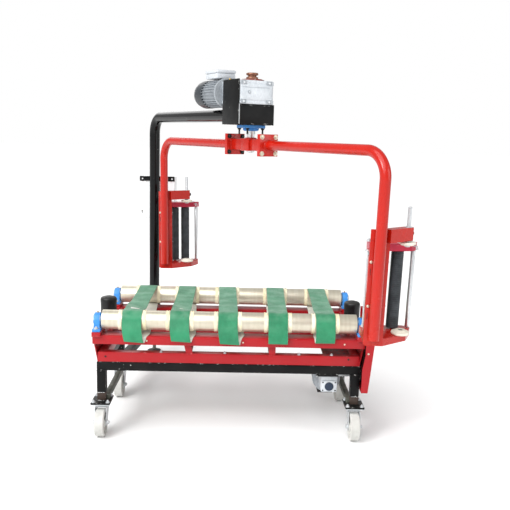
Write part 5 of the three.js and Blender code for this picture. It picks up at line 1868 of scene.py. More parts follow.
# ------------------------------------------------------------------ mast and head
@dataclass
class Mast(Assembly):
    """Black bent pipe, the bracket that it holds over the table, and the control box behind it."""

    radius: float = 0.03015
    bend_radius: float = 0.096
    arm_height: float = 1.428
    foot: float = 0.118
    turn: float = 27.9
    left: float = -0.105
    right: float = 0.069
    half_depth: float = 0.086
    low: float = 1.385
    high: float = 1.475
    wall: float = 0.006
    side_top: float = 1.582
    side_back: float = 0.066
    bar_half: float = 0.104
    bar_height: float = 0.029

    def build(self, site: Site) -> None:
        """Makes the mast.

        Args:
            site: shared places.
        """
        head = head_place(site, self.turn)
        solid = Solid()
        corner = Vector((site.foot.x, site.foot.y, self.arm_height))
        local = head.inverted() @ corner
        end = head @ Vector((local.x, self.half_depth - 0.001, self.arm_height))
        path = bend(Vector((corner.x, corner.y, self.foot)), corner, end, self.bend_radius, 18)
        solid.tube(path, self.radius, 48)
        bracket = Solid(head)
        w, d = self.wall, self.half_depth
        bracket.box((self.left, -d, self.low), (self.right, d, self.low + w), 0.0012)
        bracket.box((self.left, -d, self.high - w), (self.right, d, self.high), 0.0012)
        bracket.box((self.left, -d, self.low + w), (self.right, -d + w, self.high - w), 0.0012)
        bracket.box((self.left, d - w, self.low + w), (self.right, d, self.high - w), 0.0012)
        bracket.box((self.left, -d + w, self.low + w), (self.left + w, d - w, self.high - w), 0.0012)
        for y0, y1 in ((-d + w, -d / 2), (d / 2, d - w)):
            bracket.box((self.right - w, y0, self.low + w), (self.right, y1, self.high - w), 0.0012)
        for z0, z1 in ((self.low + w, self.low + 3 * w), (self.high - 3 * w, self.high - w)):
            bracket.box((self.right - w, -d / 2, z0), (self.right, d / 2, z1), 0.0012)
        edge = self.left - 0.002
        back = self.side_back
        bracket.box((edge - w, -d, self.low), (edge, back, self.side_top), 0.0012)
        bracket.box((edge - 0.001, -d / 2, self.low + w), (self.left + 0.001, back - w, self.high - w),
                    0.0)
        # the pale steel bead on the front corner between side plate and box paints a highlight line along
        # that corner
        bracket.weld([(edge - 0.0005, -d - 0.0005, self.low + 0.004),
                      (edge - 0.0005, -d - 0.0005, self.high)],
                     0.0024, slot=1)
        around = [(local.x + a, d + 0.001, self.arm_height + b) for a, b in circle(self.radius + 0.001)]
        bracket.weld(around, 0.003, closed=True)
        self.keep("mast_pipe", solid, ROOT, (Look.MAST_BLACK,), ("mast",), "black_paint")
        self.keep("head_bracket", bracket, ROOT, (Look.BLACK, Look.PALE_STEEL), slot="black_paint")
        self._control_box(site)

    @staticmethod
    def _walls(solid: Solid, low: Vector, high: Vector, back: float) -> None:
        """Adds the four folded sides of a sheet box.

        Args:
            solid: the mesh to add to.
            low: the box's lowest corner.
            high: its highest corner.
            back: Y where the sides end.
        """
        for x in (low.x, high.x - SHEET):
            solid.box((x, low.y, low.z), (x + SHEET, back, high.z), 0.0009)
        for z in (low.z, high.z - SHEET):
            solid.box((low.x, low.y, z), (high.x, back, z + SHEET), 0.0009)

    def _control_box(self, site: Site) -> None:
        """Makes the switch box with its bar, door and lock.

        Args:
            site: shared places.
        """
        low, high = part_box("control_box")
        middle = (low.x + high.x) / 2
        front = low.y - GAP
        bar = Solid()
        top, deep, half = high.z + 0.008, 0.005, self.bar_half
        hole = 0.007
        foot = top - self.bar_height
        level = (top + foot) / 2
        for x0, x1 in ((-half, -half + 0.008), (-half + 0.022, half - 0.022), (half - 0.008, half)):
            bar.box((middle + x0, front - deep, foot), (middle + x1, front, top), 0.001)
        for x in (-half + 0.015, half - 0.015):
            for z0, z1 in ((foot, level - hole), (level + hole, top)):
                bar.box((middle + x - 0.0072, front - deep, z0), (middle + x + 0.0072, front, z1),
                        0.0008)
            bar.ring(hole - 0.0012, hole + 0.0015, (middle + x, front - deep + 0.0002, level), Y_AXIS,
                     deep - 0.0004, 0)
        for z in (foot, top):
            bar.weld([(site.foot.x - 0.018, front - 0.001, z), (site.foot.x + 0.018, front - 0.001, z)],
                     0.0025)
        self.keep("box_bar", bar, ROOT, (Look.MAST_BLACK,), slot="black_paint")
        shell = Solid()
        shell.box((low.x, low.y, low.z), (high.x, low.y + SHEET, high.z), 0.0015)
        self._walls(shell, low, high, high.y)
        slot_x = low.x + 0.016
        slot_z = low.z + 0.037
        shell.disc(0.0042, 0.0004, (slot_x, low.y - 0.0002, slot_z + 0.006), -Y_AXIS, slot=1)
        shell.box((slot_x - 0.0016, low.y - 0.0006, slot_z - 0.008),
                  (slot_x + 0.0016, low.y, slot_z + 0.005), 0.0, 1)
        for x in (site.foot.x - 0.012, site.foot.x + 0.020):
            shell.lathe(eased([(0, 0), (0.014, 0), (0.014, 0.006), (0.010, 0.010), (0.010, 0.016),
                               (0, 0.016)], 0.001),
                        (x, (low.y + high.y) / 2, low.z), -Z_AXIS, 24, slot=1)
        self.keep("switch_box", shell, ROOT, (Look.CABINET, Look.BLACK_PLASTIC), ("control_box",),
                  "cabinet")
        low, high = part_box("control_box_door")
        door = Solid()
        face = high.y - 0.006
        door.box((low.x, face - SHEET, low.z), (high.x, face, high.z), 0.0014)
        self._walls(door, low, high, face)
        door.lathe(eased([(0, 0), (0.011, 0), (0.011, 0.003), (0.007, 0.006), (0, 0.006)], 0.0008),
                   (high.x - 0.022, face, (low.z + high.z) / 2), Y_AXIS, 28, slot=1)
        door.ring(0.010, 0.017, (middle, face, high.z - 0.05), Y_AXIS, 0.004, 1)
        door.lathe(eased([(0, 0), (0.0098, 0), (0.009, 0.0055), (0, 0.0058)], 0.001),
                   (middle, face, high.z - 0.05), Y_AXIS, 28, slot=2)
        for z in (low.z + 0.035, high.z - 0.035):
            door.rod(0.0035, (low.x + 0.004, low.y + 0.006, z - 0.014),
                     (low.x + 0.004, low.y + 0.006, z + 0.014), slot=1)
        self.keep("switch_box_door", door, "box_door", (Look.CABINET, Look.BLACK_PLASTIC, Look.FLANGE),
                  ("control_box_door",), "cabinet")


def head_place(site: Site, turn: float) -> Matrix:
    """Gives the head's own axes, whose Y runs back along the overhead pipe.

    Args:
        site: shared places.
        turn: the head's turn, in degrees.

    Returns:
        The head's place.
    """
    rotation = Matrix.Rotation(math.radians(turn), 4, "Z")
    return Matrix.Translation((site.spin.x, site.spin.y, 0)) @ rotation


@dataclass
class Head(Assembly):
    """Gearbox, finned motor with cowl and terminal box, flange bearing, and the output shaft."""

    turn: float = 27.9
    left: float = -0.105
    right: float = 0.069
    half_depth: float = 0.086
    low: float = 1.4753
    high: float = 1.578
    motor_x: float = -0.075
    plug_x: float = -0.061
    motor_radius: float = 0.060
    body_end: float = 0.250
    cowl_end: float = 0.340
    shaft: float = 0.0175
    flange_half: float = 0.0515

    def build(self, site: Site) -> None:
        """Makes the head.

        Args:
            site: shared places.
        """
        place = head_place(site, self.turn)
        self._gearbox(place)
        self._motor(place)
        self._flange(place)
        self._shaft(site)

    def _gearbox(self, place: Matrix) -> None:
        """Makes the gearbox casting with its cover and seals.

        Args:
            place: the head's place.
        """
        solid = Solid(place)
        d, r = self.half_depth, self.right
        cut = 0.014
        outline = [(self.left, -d), (r - cut, -d), (r, -d + cut), (r, d - cut), (r - cut, d),
                   (self.left, d)]
        solid.plate(outline, (0, 0, self.low), X_AXIS, Y_AXIS, self.high - self.low, 0.003)
        middle = (self.low + self.high) / 2
        for z0, z1 in ((self.low + 0.004, self.low + 0.012), (self.high - 0.012, self.high - 0.004)):
            solid.plate([(x * 1.012, y * 1.015) for x, y in outline], (0, 0, z0), X_AXIS, Y_AXIS,
                        z1 - z0, 0.002)
        split = self.high - 0.030
        for z0, z1 in ((self.low + 0.018, split - 0.002), (split, self.high - 0.018)):
            solid.box((self.left + 0.008, -d - 0.0025, z0), (r - 0.022, -d + 0.002, z1), 0.0016)
            solid.box((r - 0.002, -d + 0.022, z0), (r + 0.0025, d - 0.022, z1), 0.0016)
        for x in (self.left + 0.016, r - 0.030):
            for z in (self.low + 0.011, self.high - 0.011):
                solid.box((x - 0.013, -d - 0.0045, z - 0.0085), (x + 0.013, -d, z + 0.0085), 0.0015,
                          slot=5)
                solid.bolt((x, -d - 0.0045, z), -Y_AXIS, 0.0055, slot=1, washer=False)
        for y in (-d + 0.030, d - 0.030):
            for z in (self.low + 0.011, self.high - 0.011):
                solid.box((r, y - 0.013, z - 0.0085), (r + 0.0045, y + 0.013, z + 0.0085), 0.0015,
                          slot=5)
                solid.bolt((r + 0.0045, y, z), X_AXIS, 0.0055, slot=1, washer=False)
        plug = (self.plug_x, -d - 0.002, middle)
        solid.lathe(eased([(0, 0), (0.0072, 0), (0.0072, 0.004), (0, 0.004)], 0.001), plug, -Y_AXIS, 24,
                    slot=5)
        solid.disc(0.0040, 0.0007, (self.plug_x, -d - 0.0058, middle), -Y_AXIS, 6)
        base = [(0.0185, 0), (0.057, 0), (0.057, 0.005), (0.044, 0.0105), (0.0185, 0.0108)]
        solid.lathe(eased(base, 0.001), (0, 0, self.high), segments=56, slot=4)
        for k in range(6):
            angle = k * math.pi / 3 + 0.3
            solid.bolt((0.049 * math.cos(angle), 0.049 * math.sin(angle), self.high + 0.0048), Z_AXIS,
                       0.0048,
                       slot=1, washer=False)
        solid.rod(0.006, (self.left + 0.025, d - 0.025, self.high),
                  (self.left + 0.025, d - 0.025, self.high + 0.012), slot=3)
        looks = (Look.CASTING, Look.ZINC, Look.BLACK_PLASTIC, Look.BRASS, Look.FLANGE, Look.FINS)
        self.keep("head_gear_housing", solid, ROOT, looks, ("head_gearbox",), "casting")

    def _motor(self, place: Matrix) -> None:
        """Makes the motor, its cowl and its terminal box, whose dark grey rounded end is painted shade.

        Args:
            place: the head's place.
        """
        middle = (self.low + self.high) / 2
        axis = place @ Matrix.Translation((self.motor_x, 0, middle))
        start = self.half_depth + GAP
        solid = Solid()
        finned_motor(solid, axis, start, start + 0.014, self.body_end, self.cowl_end, self.motor_radius)
        for k in range(4):
            turn = axis @ Matrix.Rotation(k * math.pi / 2 + math.pi / 4, 4, "Y")
            at = turn @ Vector((0, start + 0.014, 0.0635))
            solid.bolt(at, (axis.to_3x3() @ Y_AXIS).normalized(), 0.0048, washer=False)
        looks = (Look.FINS, Look.COWL, Look.BLACK_PLASTIC)
        self.keep("head_motor_shell", solid, ROOT, looks, ("head_motor", "head_motor_cowl"),
                  "motor_grey")
        low, high = (corner.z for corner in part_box("head_terminal_box"))
        cover = Solid(place)
        x, y0, y1 = self.motor_x, 0.108, 0.236
        step = low + (high - low) * 0.6
        # dark grey rounded end on the terminal box: it stands for the box's shaded end, painted shade
        painted_shade_end = (x, y1, (low + high) / 2)
        cover.lathe(eased([(0, 0), (0.0168, 0), (0.0168, 0.034), (0.0150, 0.040), (0.0150, 0.052),
                           (0.010, 0.0555), (0, 0.0555)], 0.003), painted_shade_end, Y_AXIS, 32, slot=3)
        cover.box((x - 0.046, y0, low), (x + 0.046, y1, step), 0.004)
        cover.box((x - 0.049, y0 - 0.003, step), (x + 0.049, y1 + 0.003, high), 0.008)
        for sx in (-1, 1):
            for y in (y0 + 0.008, y1 - 0.008):
                cover.lathe([(0, 0), (0.004, 0), (0.0036, 0.0014), (0, 0.002)],
                            (x + sx * 0.040, y, high - 0.0022), Z_AXIS, 16, slot=1)
        for y in (y0 + 0.035, y0 + 0.075):
            cover.lathe(eased([(0, 0), (0.010, 0), (0.010, 0.004), (0.007, 0.009), (0, 0.009)], 0.001),
                        (x + 0.046, y, low + 0.012), X_AXIS, 24, slot=2)
        self.keep("head_terminals", cover, ROOT, (Look.TERMINAL, Look.ZINC, Look.BLACK_PLASTIC,
                                                  Look.COWL),
                  ("head_terminal_box",), "casting")

    def _flange(self, place: Matrix) -> None:
        """Makes the blue flange bearing under the bracket.

        Args:
            place: the head's place.
        """
        low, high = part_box("head_flange_bearing")
        solid = Solid(place)
        half, thick = self.flange_half, 0.013
        rounded = []
        for sx, sy in ((1, 1), (-1, 1), (-1, -1), (1, -1)):
            for k in range(5):
                base = math.atan2(sy, sx) - math.pi / 4
                a = base + k / 4 * math.pi / 2
                rounded.append((sx * (half - 0.013) + 0.013 * math.cos(a),
                                sy * (half - 0.013) + 0.013 * math.sin(a)))
        solid.plate(rounded, (0, 0, high.z - thick), X_AXIS, Y_AXIS, thick, 0.002)
        solid.lathe(eased([(0.0182, 0), (0.037, 0), (0.0365, 0.008), (0.031, 0.013), (0.0182, 0.013)],
                          0.0012),
                    (0, 0, high.z - thick), -Z_AXIS, 48)
        solid.ring(0.0180, 0.0245, (0, 0, low.z), Z_AXIS, 0.010, 1, 40)
        out = self.flange_half - 0.0125
        for sx, sy in QUARTERS:
            solid.bolt((sx * out, sy * out, high.z - thick), -Z_AXIS, 0.0082, slot=2, stub=0.020)
        self.keep("flange_unit", solid, ROOT, (Look.BLUE, Look.ZINC, Look.CHAIN),
                  ("head_flange_bearing",), "bearing_blue")

    def _shaft(self, site: Site) -> None:
        """Makes the output shaft with the fitting on its top.

        Args:
            site: shared places.
        """
        low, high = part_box("arm_shaft")
        at = (site.spin.x, site.spin.y, 0)
        base = high.z - 0.0274
        solid = Solid()
        solid.lathe(eased([(0, low.z), (self.shaft, low.z), (self.shaft, base), (0, base)], 0.0015), at,
                    segments=48, slot=1)
        outline = [(0, base), (0.027, base), (0.027, base + 0.008), (0.019, base + 0.011),
                   (0.019, base + 0.015),
                   (0.027, base + 0.018), (0.027, high.z - 0.002), (0.024, high.z), (0, high.z)]
        solid.lathe(eased(outline, 0.001), at, segments=48)
        for k in range(24):
            a = k / 24 * 2 * math.pi
            turn = Matrix.Translation(at) @ Matrix.Rotation(a, 4, "Z")
            solid.box((0.0262, -0.0012, base + 0.0195), (0.0273, 0.0012, high.z - 0.003), 0.0003,
                      turn=turn)
        solid.bolt((at[0], at[1], low.z + 0.009), -Z_AXIS, 0.012, slot=2)
        self.keep("arm_spindle", solid, ARM, (Look.BRONZE, Look.PALE_STEEL, Look.ZINC), ("arm_shaft",),
                  "bronze")


# ------------------------------------------------------------------ turning arm
@dataclass
class TwinArm(Assembly):
    """Orange hub and the two bent arm tubes."""

    height: float = 1.297
    block: float = 0.066
    block_height: float = 0.056
    beam: float = 0.050
    plate: float = 0.097
    plate_thickness: float = 0.010
    bolt_out: float = 0.036
    reach: float = 0.137
    radius: float = 0.0212
    bend_radius: float = 0.100
    foot: float = 0.597

    def build(self, site: Site) -> None:
        """Makes the arm.

        Args:
            site: shared places.
        """
        units = {side: unit_place(site, side) for side in SIDES}
        heading = units["right"] @ Vector((0, 0, self.height)) - site.spin
        turn = math.atan2(heading.y, heading.x)
        centre = Matrix.Translation((site.spin.x, site.spin.y, 0)) @ Matrix.Rotation(turn, 4, "Z")
        self._hub(centre)
        for side, spin in (("right", 0.0), ("left", math.pi)):
            self._arm(side, centre @ Matrix.Rotation(spin, 4, "Z"), units[side])

    def _hub(self, centre: Matrix) -> None:
        """Makes the hub with its flange plates.

        Args:
            centre: the hub's place, its X along the right arm.
        """
        solid = Solid(centre)
        z, b, h = self.height, self.block / 2, self.block_height / 2
        solid.box((-b, -b, z - h), (b, b, z + h), 0.003)
        t = self.beam / 2
        for side in (-1, 1):
            x0, x1 = sorted((side * (b - 0.002), side * (self.reach - 0.010)))
            solid.box((x0, -t, z - t), (x1, t, z + t), 0.004)
            x0, x1 = sorted((side * (self.reach - GAP / 2), side * (self.reach - self.plate_thickness)))
            p = self.plate / 2
            solid.box((x0, -p, z - p), (x1, p, z + p), 0.0015)
            edge = side * (self.reach - self.plate_thickness - 0.001)
            ring = [(edge, a * (t + 0.001), z + c * (t + 0.001))
                    for a, c in ((-1, -1), (1, -1), (1, 1), (-1, 1))]
            solid.weld(ring, 0.003, closed=True)
            for a, c in QUARTERS:
                at = (side * (self.reach - self.plate_thickness), a * self.bolt_out,
                      z + c * self.bolt_out)
                solid.bolt(at, X_AXIS * -side, 0.0085, slot=1 if side > 0 else 2)
        for sx in (-1, 1):
            solid.weld([(sx * (b + 0.001), -b, z + t), (sx * (b + 0.001), b, z + t)], 0.0028)
        solid.lathe(eased([(0.0178, 0), (0.026, 0), (0.026, 0.004), (0.0178, 0.004)], 0.0008),
                    (0, 0, z + h), Z_AXIS, 36)
        self.keep("hub", solid, ARM, (Look.ORANGE, Look.BRASS, Look.CHAIN), ("arm_hub",), "orange_paint")

    def _arm(self, side: str, place: Matrix, unit: Matrix) -> None:
        """Makes one arm.

        Args:
            side: which arm.
            place: the arm's place, its X along it.
            unit: its dispenser's place.
        """
        solid = Solid()
        corner = unit @ Vector((0, 0, self.height))
        end = unit @ Vector((0, 0, self.foot))
        start = place @ Vector((self.reach + GAP / 2, 0, self.height))
        solid.tube(bend(start, corner, end, self.bend_radius, 20), self.radius, 48)
        down = (end - corner).normalized()
        solid.lathe(eased([(0, -0.001), (0.0196, -0.001), (0.0196, 0.0012), (0, 0.0016)], 0.0006), end,
                    down, 36, slot=1)
        flange = Solid(place)
        x, z, p = self.reach + GAP / 2, self.height, self.plate / 2
        flange.box((x, -p, z - p), (x + self.plate_thickness, p, z + p), 0.0015)
        edge = x + self.plate_thickness + 0.001
        ring = [(edge, a, z + b) for a, b in circle(self.radius + 0.001)]
        flange.weld(ring, 0.0032, closed=True)
        for a, c in QUARTERS:
            flange.bolt((x + self.plate_thickness, a * self.bolt_out, z + c * self.bolt_out), X_AXIS,
                        0.0085, slot=1, stub=0.004)
        self.keep(f"arm_{side}", solid, ARM, (Look.ORANGE, Look.BLACK_PLASTIC), (f"arm_tube_{side}",),
                  "orange_paint")
        bolts = Look.YELLOW_ZINC if side == "right" else Look.CHAIN
        self.keep(f"arm_flange_{side}", flange, ARM, (Look.ORANGE, bolts), slot="orange_paint")


# ------------------------------------------------------------------ film dispensers
SPINDLE_AT = (0.120, 0.092)
SPINDLE_MARK = 1.0


def unit_place(site: Site, side: str) -> Matrix:
    """Gives a dispenser's own axes: upright along its arm tube, with the tube's line at zero.

    Args:
        site: shared places.
        side: which dispenser.

    Returns:
        The dispenser's place.
    """
    at, up = site.joint(f"core_seat_spin_{side}")
    turn = turned(Z_AXIS, up)
    return Matrix.Translation(at - turn @ Vector((*SPINDLE_AT, SPINDLE_MARK))) @ turn


@dataclass
class Dispenser(Assembly):
    """Film dispenser: channel, floor, gear case, stretch rollers, idler and the two core discs."""

    side: str = "right"
    plate: tuple[float, float] = (-0.034, 0.040)
    plate_front: float = 0.0215
    sheet: float = 0.005
    top: float = 1.012
    bottom: float = 0.572
    floor: float = 0.597
    case_low: float = 0.914
    case_high: float = 0.942
    roller_a: Flat = (0.044, 0.157)
    roller_b: Flat = (0.104, 0.171)
    idler: Flat = (0.168, 0.186)
    tie: Flat = (-0.010, 0.176)
    bracket_turn: float = 37.5
    bracket_top: float = 1.015
    bracket_height: float = 0.050
    bracket_width: float = 0.036
    bracket_end: float = 0.013

    def build(self, site: Site) -> None:
        """Makes the dispenser.

        Args:
            site: shared places.
        """
        place = unit_place(site, self.side)
        self._frame(place)
        self._case(place)
        for letter, at in (("a", self.roller_a), ("b", self.roller_b)):
            self._roller(place, letter, at)
        self._idler(place)
        self._discs(place)

    def _frame(self, place: Matrix) -> None:
        """Makes the channel, bracket, floor and tie rod.

        Args:
            place: the dispenser's place.
        """
        solid = Solid(place)
        x0, x1 = self.plate
        y = self.plate_front
        solid.box((x0, y, self.bottom), (x1, y + self.sheet, self.top), 0.0012)
        for x in (x0, x1 - self.sheet):
            solid.box((x, y + 0.001, self.floor), (x + self.sheet, y + 0.024, self.case_low - 0.004),
                      0.0012)
        seam = 0.971
        solid.box((x0 - 0.0008, y - 0.0012, seam), (x0 + 0.016, y + self.sheet + 0.0004, seam + 0.0022),
                  0.0006)
        screw = x0 + 0.0085
        for z in (0.890, 0.722):
            solid.lathe(eased([(0, 0), (0.0056, 0), (0.0056, 0.003), (0.004, 0.0042), (0, 0.0042)],
                              0.0006),
                        (screw, y, z), -Y_AXIS, 24, slot=1)
            solid.box((screw - 0.0016, y - 0.0004, z - 0.050), (screw + 0.0004, y + 0.0002, z - 0.026),
                      0.0, slot=2)
            solid.rod(0.0022, (x1, y + 0.012, z), (x1 + 0.005, y + 0.012, z), slot=4)
        for z in (0.70, 0.80, 0.90):
            for a in (-1, 1):
                solid.weld([(a * 0.016, y - 0.004, z - 0.018), (a * 0.016, y - 0.004, z + 0.018)],
                           0.0026)
        self._bracket(solid)
        outline = [(x0 + 0.006, y + 0.001), (x1, y + 0.001), (0.146, 0.102), (0.162, 0.140),
                   (0.179, 0.182), (0.179, 0.204), (0.150, 0.214), (-0.022, 0.192)]
        solid.plate(outline, (0, 0, self.floor - 0.004), X_AXIS, Y_AXIS, 0.004, 0.0012)
        self._skirt(solid, outline, 0.5672, 0.0296)
        hanger = (self.case_low + 0.004, self.case_low + 0.010)
        solid.box((x0 + 0.008, y + self.sheet, hanger[0]), (x1 - 0.006, 0.122, hanger[1]), 0.0012)
        tie = (*self.tie, 0.0)
        low, high = Vector(tie) + Z_AXIS * self.floor, Vector(tie) + Z_AXIS * (self.case_low - GAP)
        solid.rod(0.0052, low, high, slot=4)
        solid.bolt(tuple(low), Z_AXIS, 0.0085, slot=4)
        solid.bolt(tuple(high - Z_AXIS * 0.009), Z_AXIS, 0.0105, slot=4)
        for z in (0.776, 0.842):
            solid.tube([Vector((self.tie[0], self.tie[1] - 0.005, z)),
                        Vector((self.tie[0] + 0.004, 0.12, z + 0.002)),
                        Vector((self.tie[0] + 0.008, 0.07, z + 0.001)), Vector((0.004, 0.032, z)),
                        Vector((0.004, y + self.sheet, z))], 0.0014, 8, slot=4)
        pin = Vector((*SPINDLE_AT, self.floor - 0.002))
        solid.rod(0.0088, pin, pin + Z_AXIS * 0.019, slot=2)
        solid.bolt((0.0, y + self.sheet, self.case_low + 0.045), Y_AXIS, 0.0085, slot=4)
        looks = (Look.ORANGE, Look.YELLOW_ZINC, Look.BLACK_PLASTIC, Look.IVORY, Look.ZINC)
        self.keep(f"dispenser_frame_{self.side}", solid, ARM, looks, (f"film_frame_{self.side}",),
                  "orange_paint")

    @staticmethod
    def _skirt(solid: Solid, outline: list[Flat], foot: float, height: float) -> None:
        """Adds the folded sides under a flat sheet.

        Args:
            solid: the mesh to add to.
            outline: the sheet's corners in plan.
            foot: where the sides end below.
            height: their height.
        """
        for start, end in zip(outline, outline[1:] + outline[:1]):
            a, b = Vector((*start, foot)), Vector((*end, foot))
            length = (b - a).length
            solid.plate([(0, 0), (length, 0), (length, height), (0, height)], tuple(a),
                        (b - a).normalized(), Z_AXIS, -0.0035, 0.0009)

    def _bracket_line(self) -> tuple[float, Vector]:
        """Gives the spindle's distance from the arm tube, and the bracket's direction."""
        heading = math.radians(self.bracket_turn)
        return math.hypot(*SPINDLE_AT), Vector((math.cos(heading), math.sin(heading), 0))

    def _bracket(self, solid: Solid) -> None:
        """Adds the bracket that holds the sliding spindle.

        Args:
            solid: the frame's mesh.
        """
        reach, along = self._bracket_line()
        across = Vector((-along.y, along.x, 0))
        low, high = self.bracket_top - self.bracket_height, self.bracket_top
        half = self.bracket_width / 2
        bore = 0.0084
        for side in (-1, 1):
            outline = [(0.034, side * half), (reach + self.bracket_end - 0.004, side * half),
                       (reach + self.bracket_end, side * (half - 0.004)),
                       (reach + self.bracket_end, side * 0.0001), (reach + bore, side * 0.0001)]
            arc = [(reach + bore * math.cos(k * math.pi / 10), side * bore * math.sin(k * math.pi / 10))
                   for k in range(1, 10)]
            outline += arc + [(reach - bore, side * 0.0001), (0.034, side * 0.0001)]
            if side < 0:
                outline.reverse()
            solid.plate(outline, (0, 0, low), along, across, high - low, 0.0)
        for z in (low, high):
            at = along * reach + Z_AXIS * (z - 0.0005 if z == low else z - 0.0010)
            solid.ring(bore, 0.0155, tuple(at), Z_AXIS, 0.0022, 4, 32)

    def _case(self, place: Matrix) -> None:
        """Makes the gear case.

        Args:
            place: the dispenser's place.
        """
        solid = Solid(place)
        outline = [(-0.015, 0.136), (0.022, 0.118), (0.152, 0.144), (0.170, 0.162), (0.181, 0.186),
                   (0.184, 0.200), (0.150, 0.216), (-0.015, 0.194)]
        high = self.case_high
        solid.plate(outline, (0, 0, high - 0.004), X_AXIS, Y_AXIS, 0.004, 0.0014)
        self._skirt(solid, outline, self.case_low, high - self.case_low - 0.0004)
        for at in (self.roller_a, self.roller_b):
            solid.ring(0.0064, 0.0115, (*at, high - 0.0008), Z_AXIS, 0.003, 1, 32)
        solid.ring(0.0044, 0.0075, (*self.idler, high - 0.0008), Z_AXIS, 0.0022, 1, 28)
        solid.bolt((*self.tie, high), Z_AXIS, 0.0085, slot=1, stub=0.003)
        for x, y in ((0.010, 0.135), (0.150, 0.157), (0.140, 0.204)):
            solid.bolt((x, y, high), Z_AXIS, 0.0055, slot=1)
        for shift in (0.0, 0.008):
            root = Vector((0.158 + shift, 0.150 + shift, high))
            solid.tube([root + Vector(step) for step in ((0, 0, -0.010), (0.008, -0.008, -0.008),
                                                         (0.011, -0.011, -0.022))],
                       0.0022, 10, slot=1)
        self.keep(f"gear_cover_{self.side}", solid, ARM, (Look.CRIMSON, Look.ZINC),
                  (f"gear_case_{self.side}",), "crimson_paint")

    def _roller(self, place: Matrix, letter: str, at: Flat) -> None:
        """Makes one ribbed stretch roller.

        Args:
            place: the dispenser's place.
            letter: which roller.
            at: its place in plan.
        """
        low, high = self.floor + 0.004, self.case_low - 0.004
        outline = [(0, self.floor - 0.006), (0.0058, self.floor - 0.006), (0.0058, low), (0.0225, low),
                   (0.0242, low + 0.002)]
        pitch = 0.0075
        for k in range(int((high - low - 0.006) / pitch)):
            z = low + 0.004 + k * pitch
            outline += [(0.0244, z), (0.0244, z + 0.0046), (0.0234, z + 0.0054), (0.0234, z + 0.0066)]
        gear = self.case_high - 0.006
        outline += [(0.0242, high - 0.002), (0.0225, high), (0.0058, high), (0.0058, gear - 0.012),
                    (0.0258, gear - 0.012), (0.0258, gear), (0.0058, gear),
                    (0.0058, self.case_high - 0.001), (0, self.case_high - 0.001)]
        solid = Solid(place)
        solid.lathe(outline, (*at, 0), segments=48)
        solid.disc(0.0045, 0.0006, (*at, self.case_high - 0.0009), Z_AXIS, slot=1)
        self.keep(f"stretch_roller_{letter}_{self.side}_ribbed", solid, f"stretch_{letter}_{self.side}",
                  (Look.FILM_RUBBER, Look.ZINC), (f"stretch_roller_{letter}_{self.side}",),
                  "black_rubber")

    def _idler(self, place: Matrix) -> None:
        """Makes the thin idler.

        Args:
            place: the dispenser's place.
        """
        low, high = self.floor + 0.004, self.case_low - 0.004
        solid = Solid(place)
        solid.lathe(eased([(0, self.floor - 0.006), (0.0039, self.floor - 0.006), (0.0039, low),
                           (0.0094, low),
                           (0.0094, high), (0.0039, high), (0.0039, self.case_high - 0.001),
                           (0, self.case_high - 0.001)], 0.0008), (*self.idler, 0), segments=32)
        self.keep(f"idler_{self.side}_tube", solid, f"idler_{self.side}", (Look.PALE_STEEL,),
                  (f"idler_roller_{self.side}",), "zinc")

    def _discs(self, place: Matrix) -> None:
        """Makes the two core discs, the spindle and the lock knob.

        Args:
            place: the dispenser's place.
        """
        low = self.floor + 0.0004
        at = (*SPINDLE_AT, 0)
        seat = Solid(place)
        outline = [(0.0094, low), (0.033, low), (0.036, low + 0.004), (0.0345, low + 0.011),
                   (0.025, low + 0.0115), (0.0205, low + 0.018), (0.0094, low + 0.018)]
        seat.lathe(eased(outline, 0.0014), at, segments=48)
        for k in range(4):
            turn = Matrix.Translation(at) @ Matrix.Rotation(k * math.pi / 2, 4, "Z")
            seat.box((0.018, -0.0018, low + 0.010), (0.0262, 0.0018, low + 0.016), 0.0008, turn=turn)
        self.keep(f"core_seat_{self.side}_disc", seat, f"core_seat_{self.side}", (Look.IVORY,),
                  (f"lower_disc_{self.side}",), "nylon")
        bottom, top = 0.946, 0.959
        cap = Solid(place)
        outline = [(0.0081, bottom), (0.0235, bottom), (0.033, bottom + 0.0065), (0.0318, top),
                   (0.0081, top)]
        cap.lathe(eased(outline, 0.0014), at, segments=48)
        self.keep(f"core_cap_{self.side}_disc", cap, f"core_cap_{self.side}", (Look.IVORY,),
                  (f"upper_disc_{self.side}",), "nylon")
        rod = Solid(place)
        rod.lathe(eased([(0, 0.940), (0.0105, 0.940), (0.0105, 0.9452), (0.0076, 0.9454),
                         (0.0076, 0.9594),
                         (0.0105, 0.9594), (0.0105, 0.9622), (0.0076, 0.9624), (0.0076, 1.090),
                         (0.0060, 1.092), (0, 1.092)], 0.0005), at, segments=32)
        self.keep(f"spindle_{self.side}_rod", rod, f"spindle_{self.side}", (Look.ZINC,),
                  (f"upper_spindle_{self.side}",), "zinc")
        knob = Solid(place)
        reach, along = self._bracket_line()
        start = along * (reach + self.bracket_end + 0.0005) + Z_AXIS * (self.bracket_top - 0.024)
        knob.lathe(eased([(0, 0), (0.006, 0), (0.006, 0.003), (0.009, 0.0045), (0.009, 0.0115),
                          (0, 0.012)], 0.001),
                   tuple(start), along, 12)
        inner = along * (reach + 0.0095) + Z_AXIS * (self.bracket_top - 0.024)
        knob.rod(0.0039, tuple(inner), tuple(start), slot=1)
        self.keep(f"knob_{self.side}_grip", knob, f"knob_{self.side}", (Look.BLACK_PLASTIC, Look.ZINC),
                  (f"lock_knob_{self.side}",), "zinc")


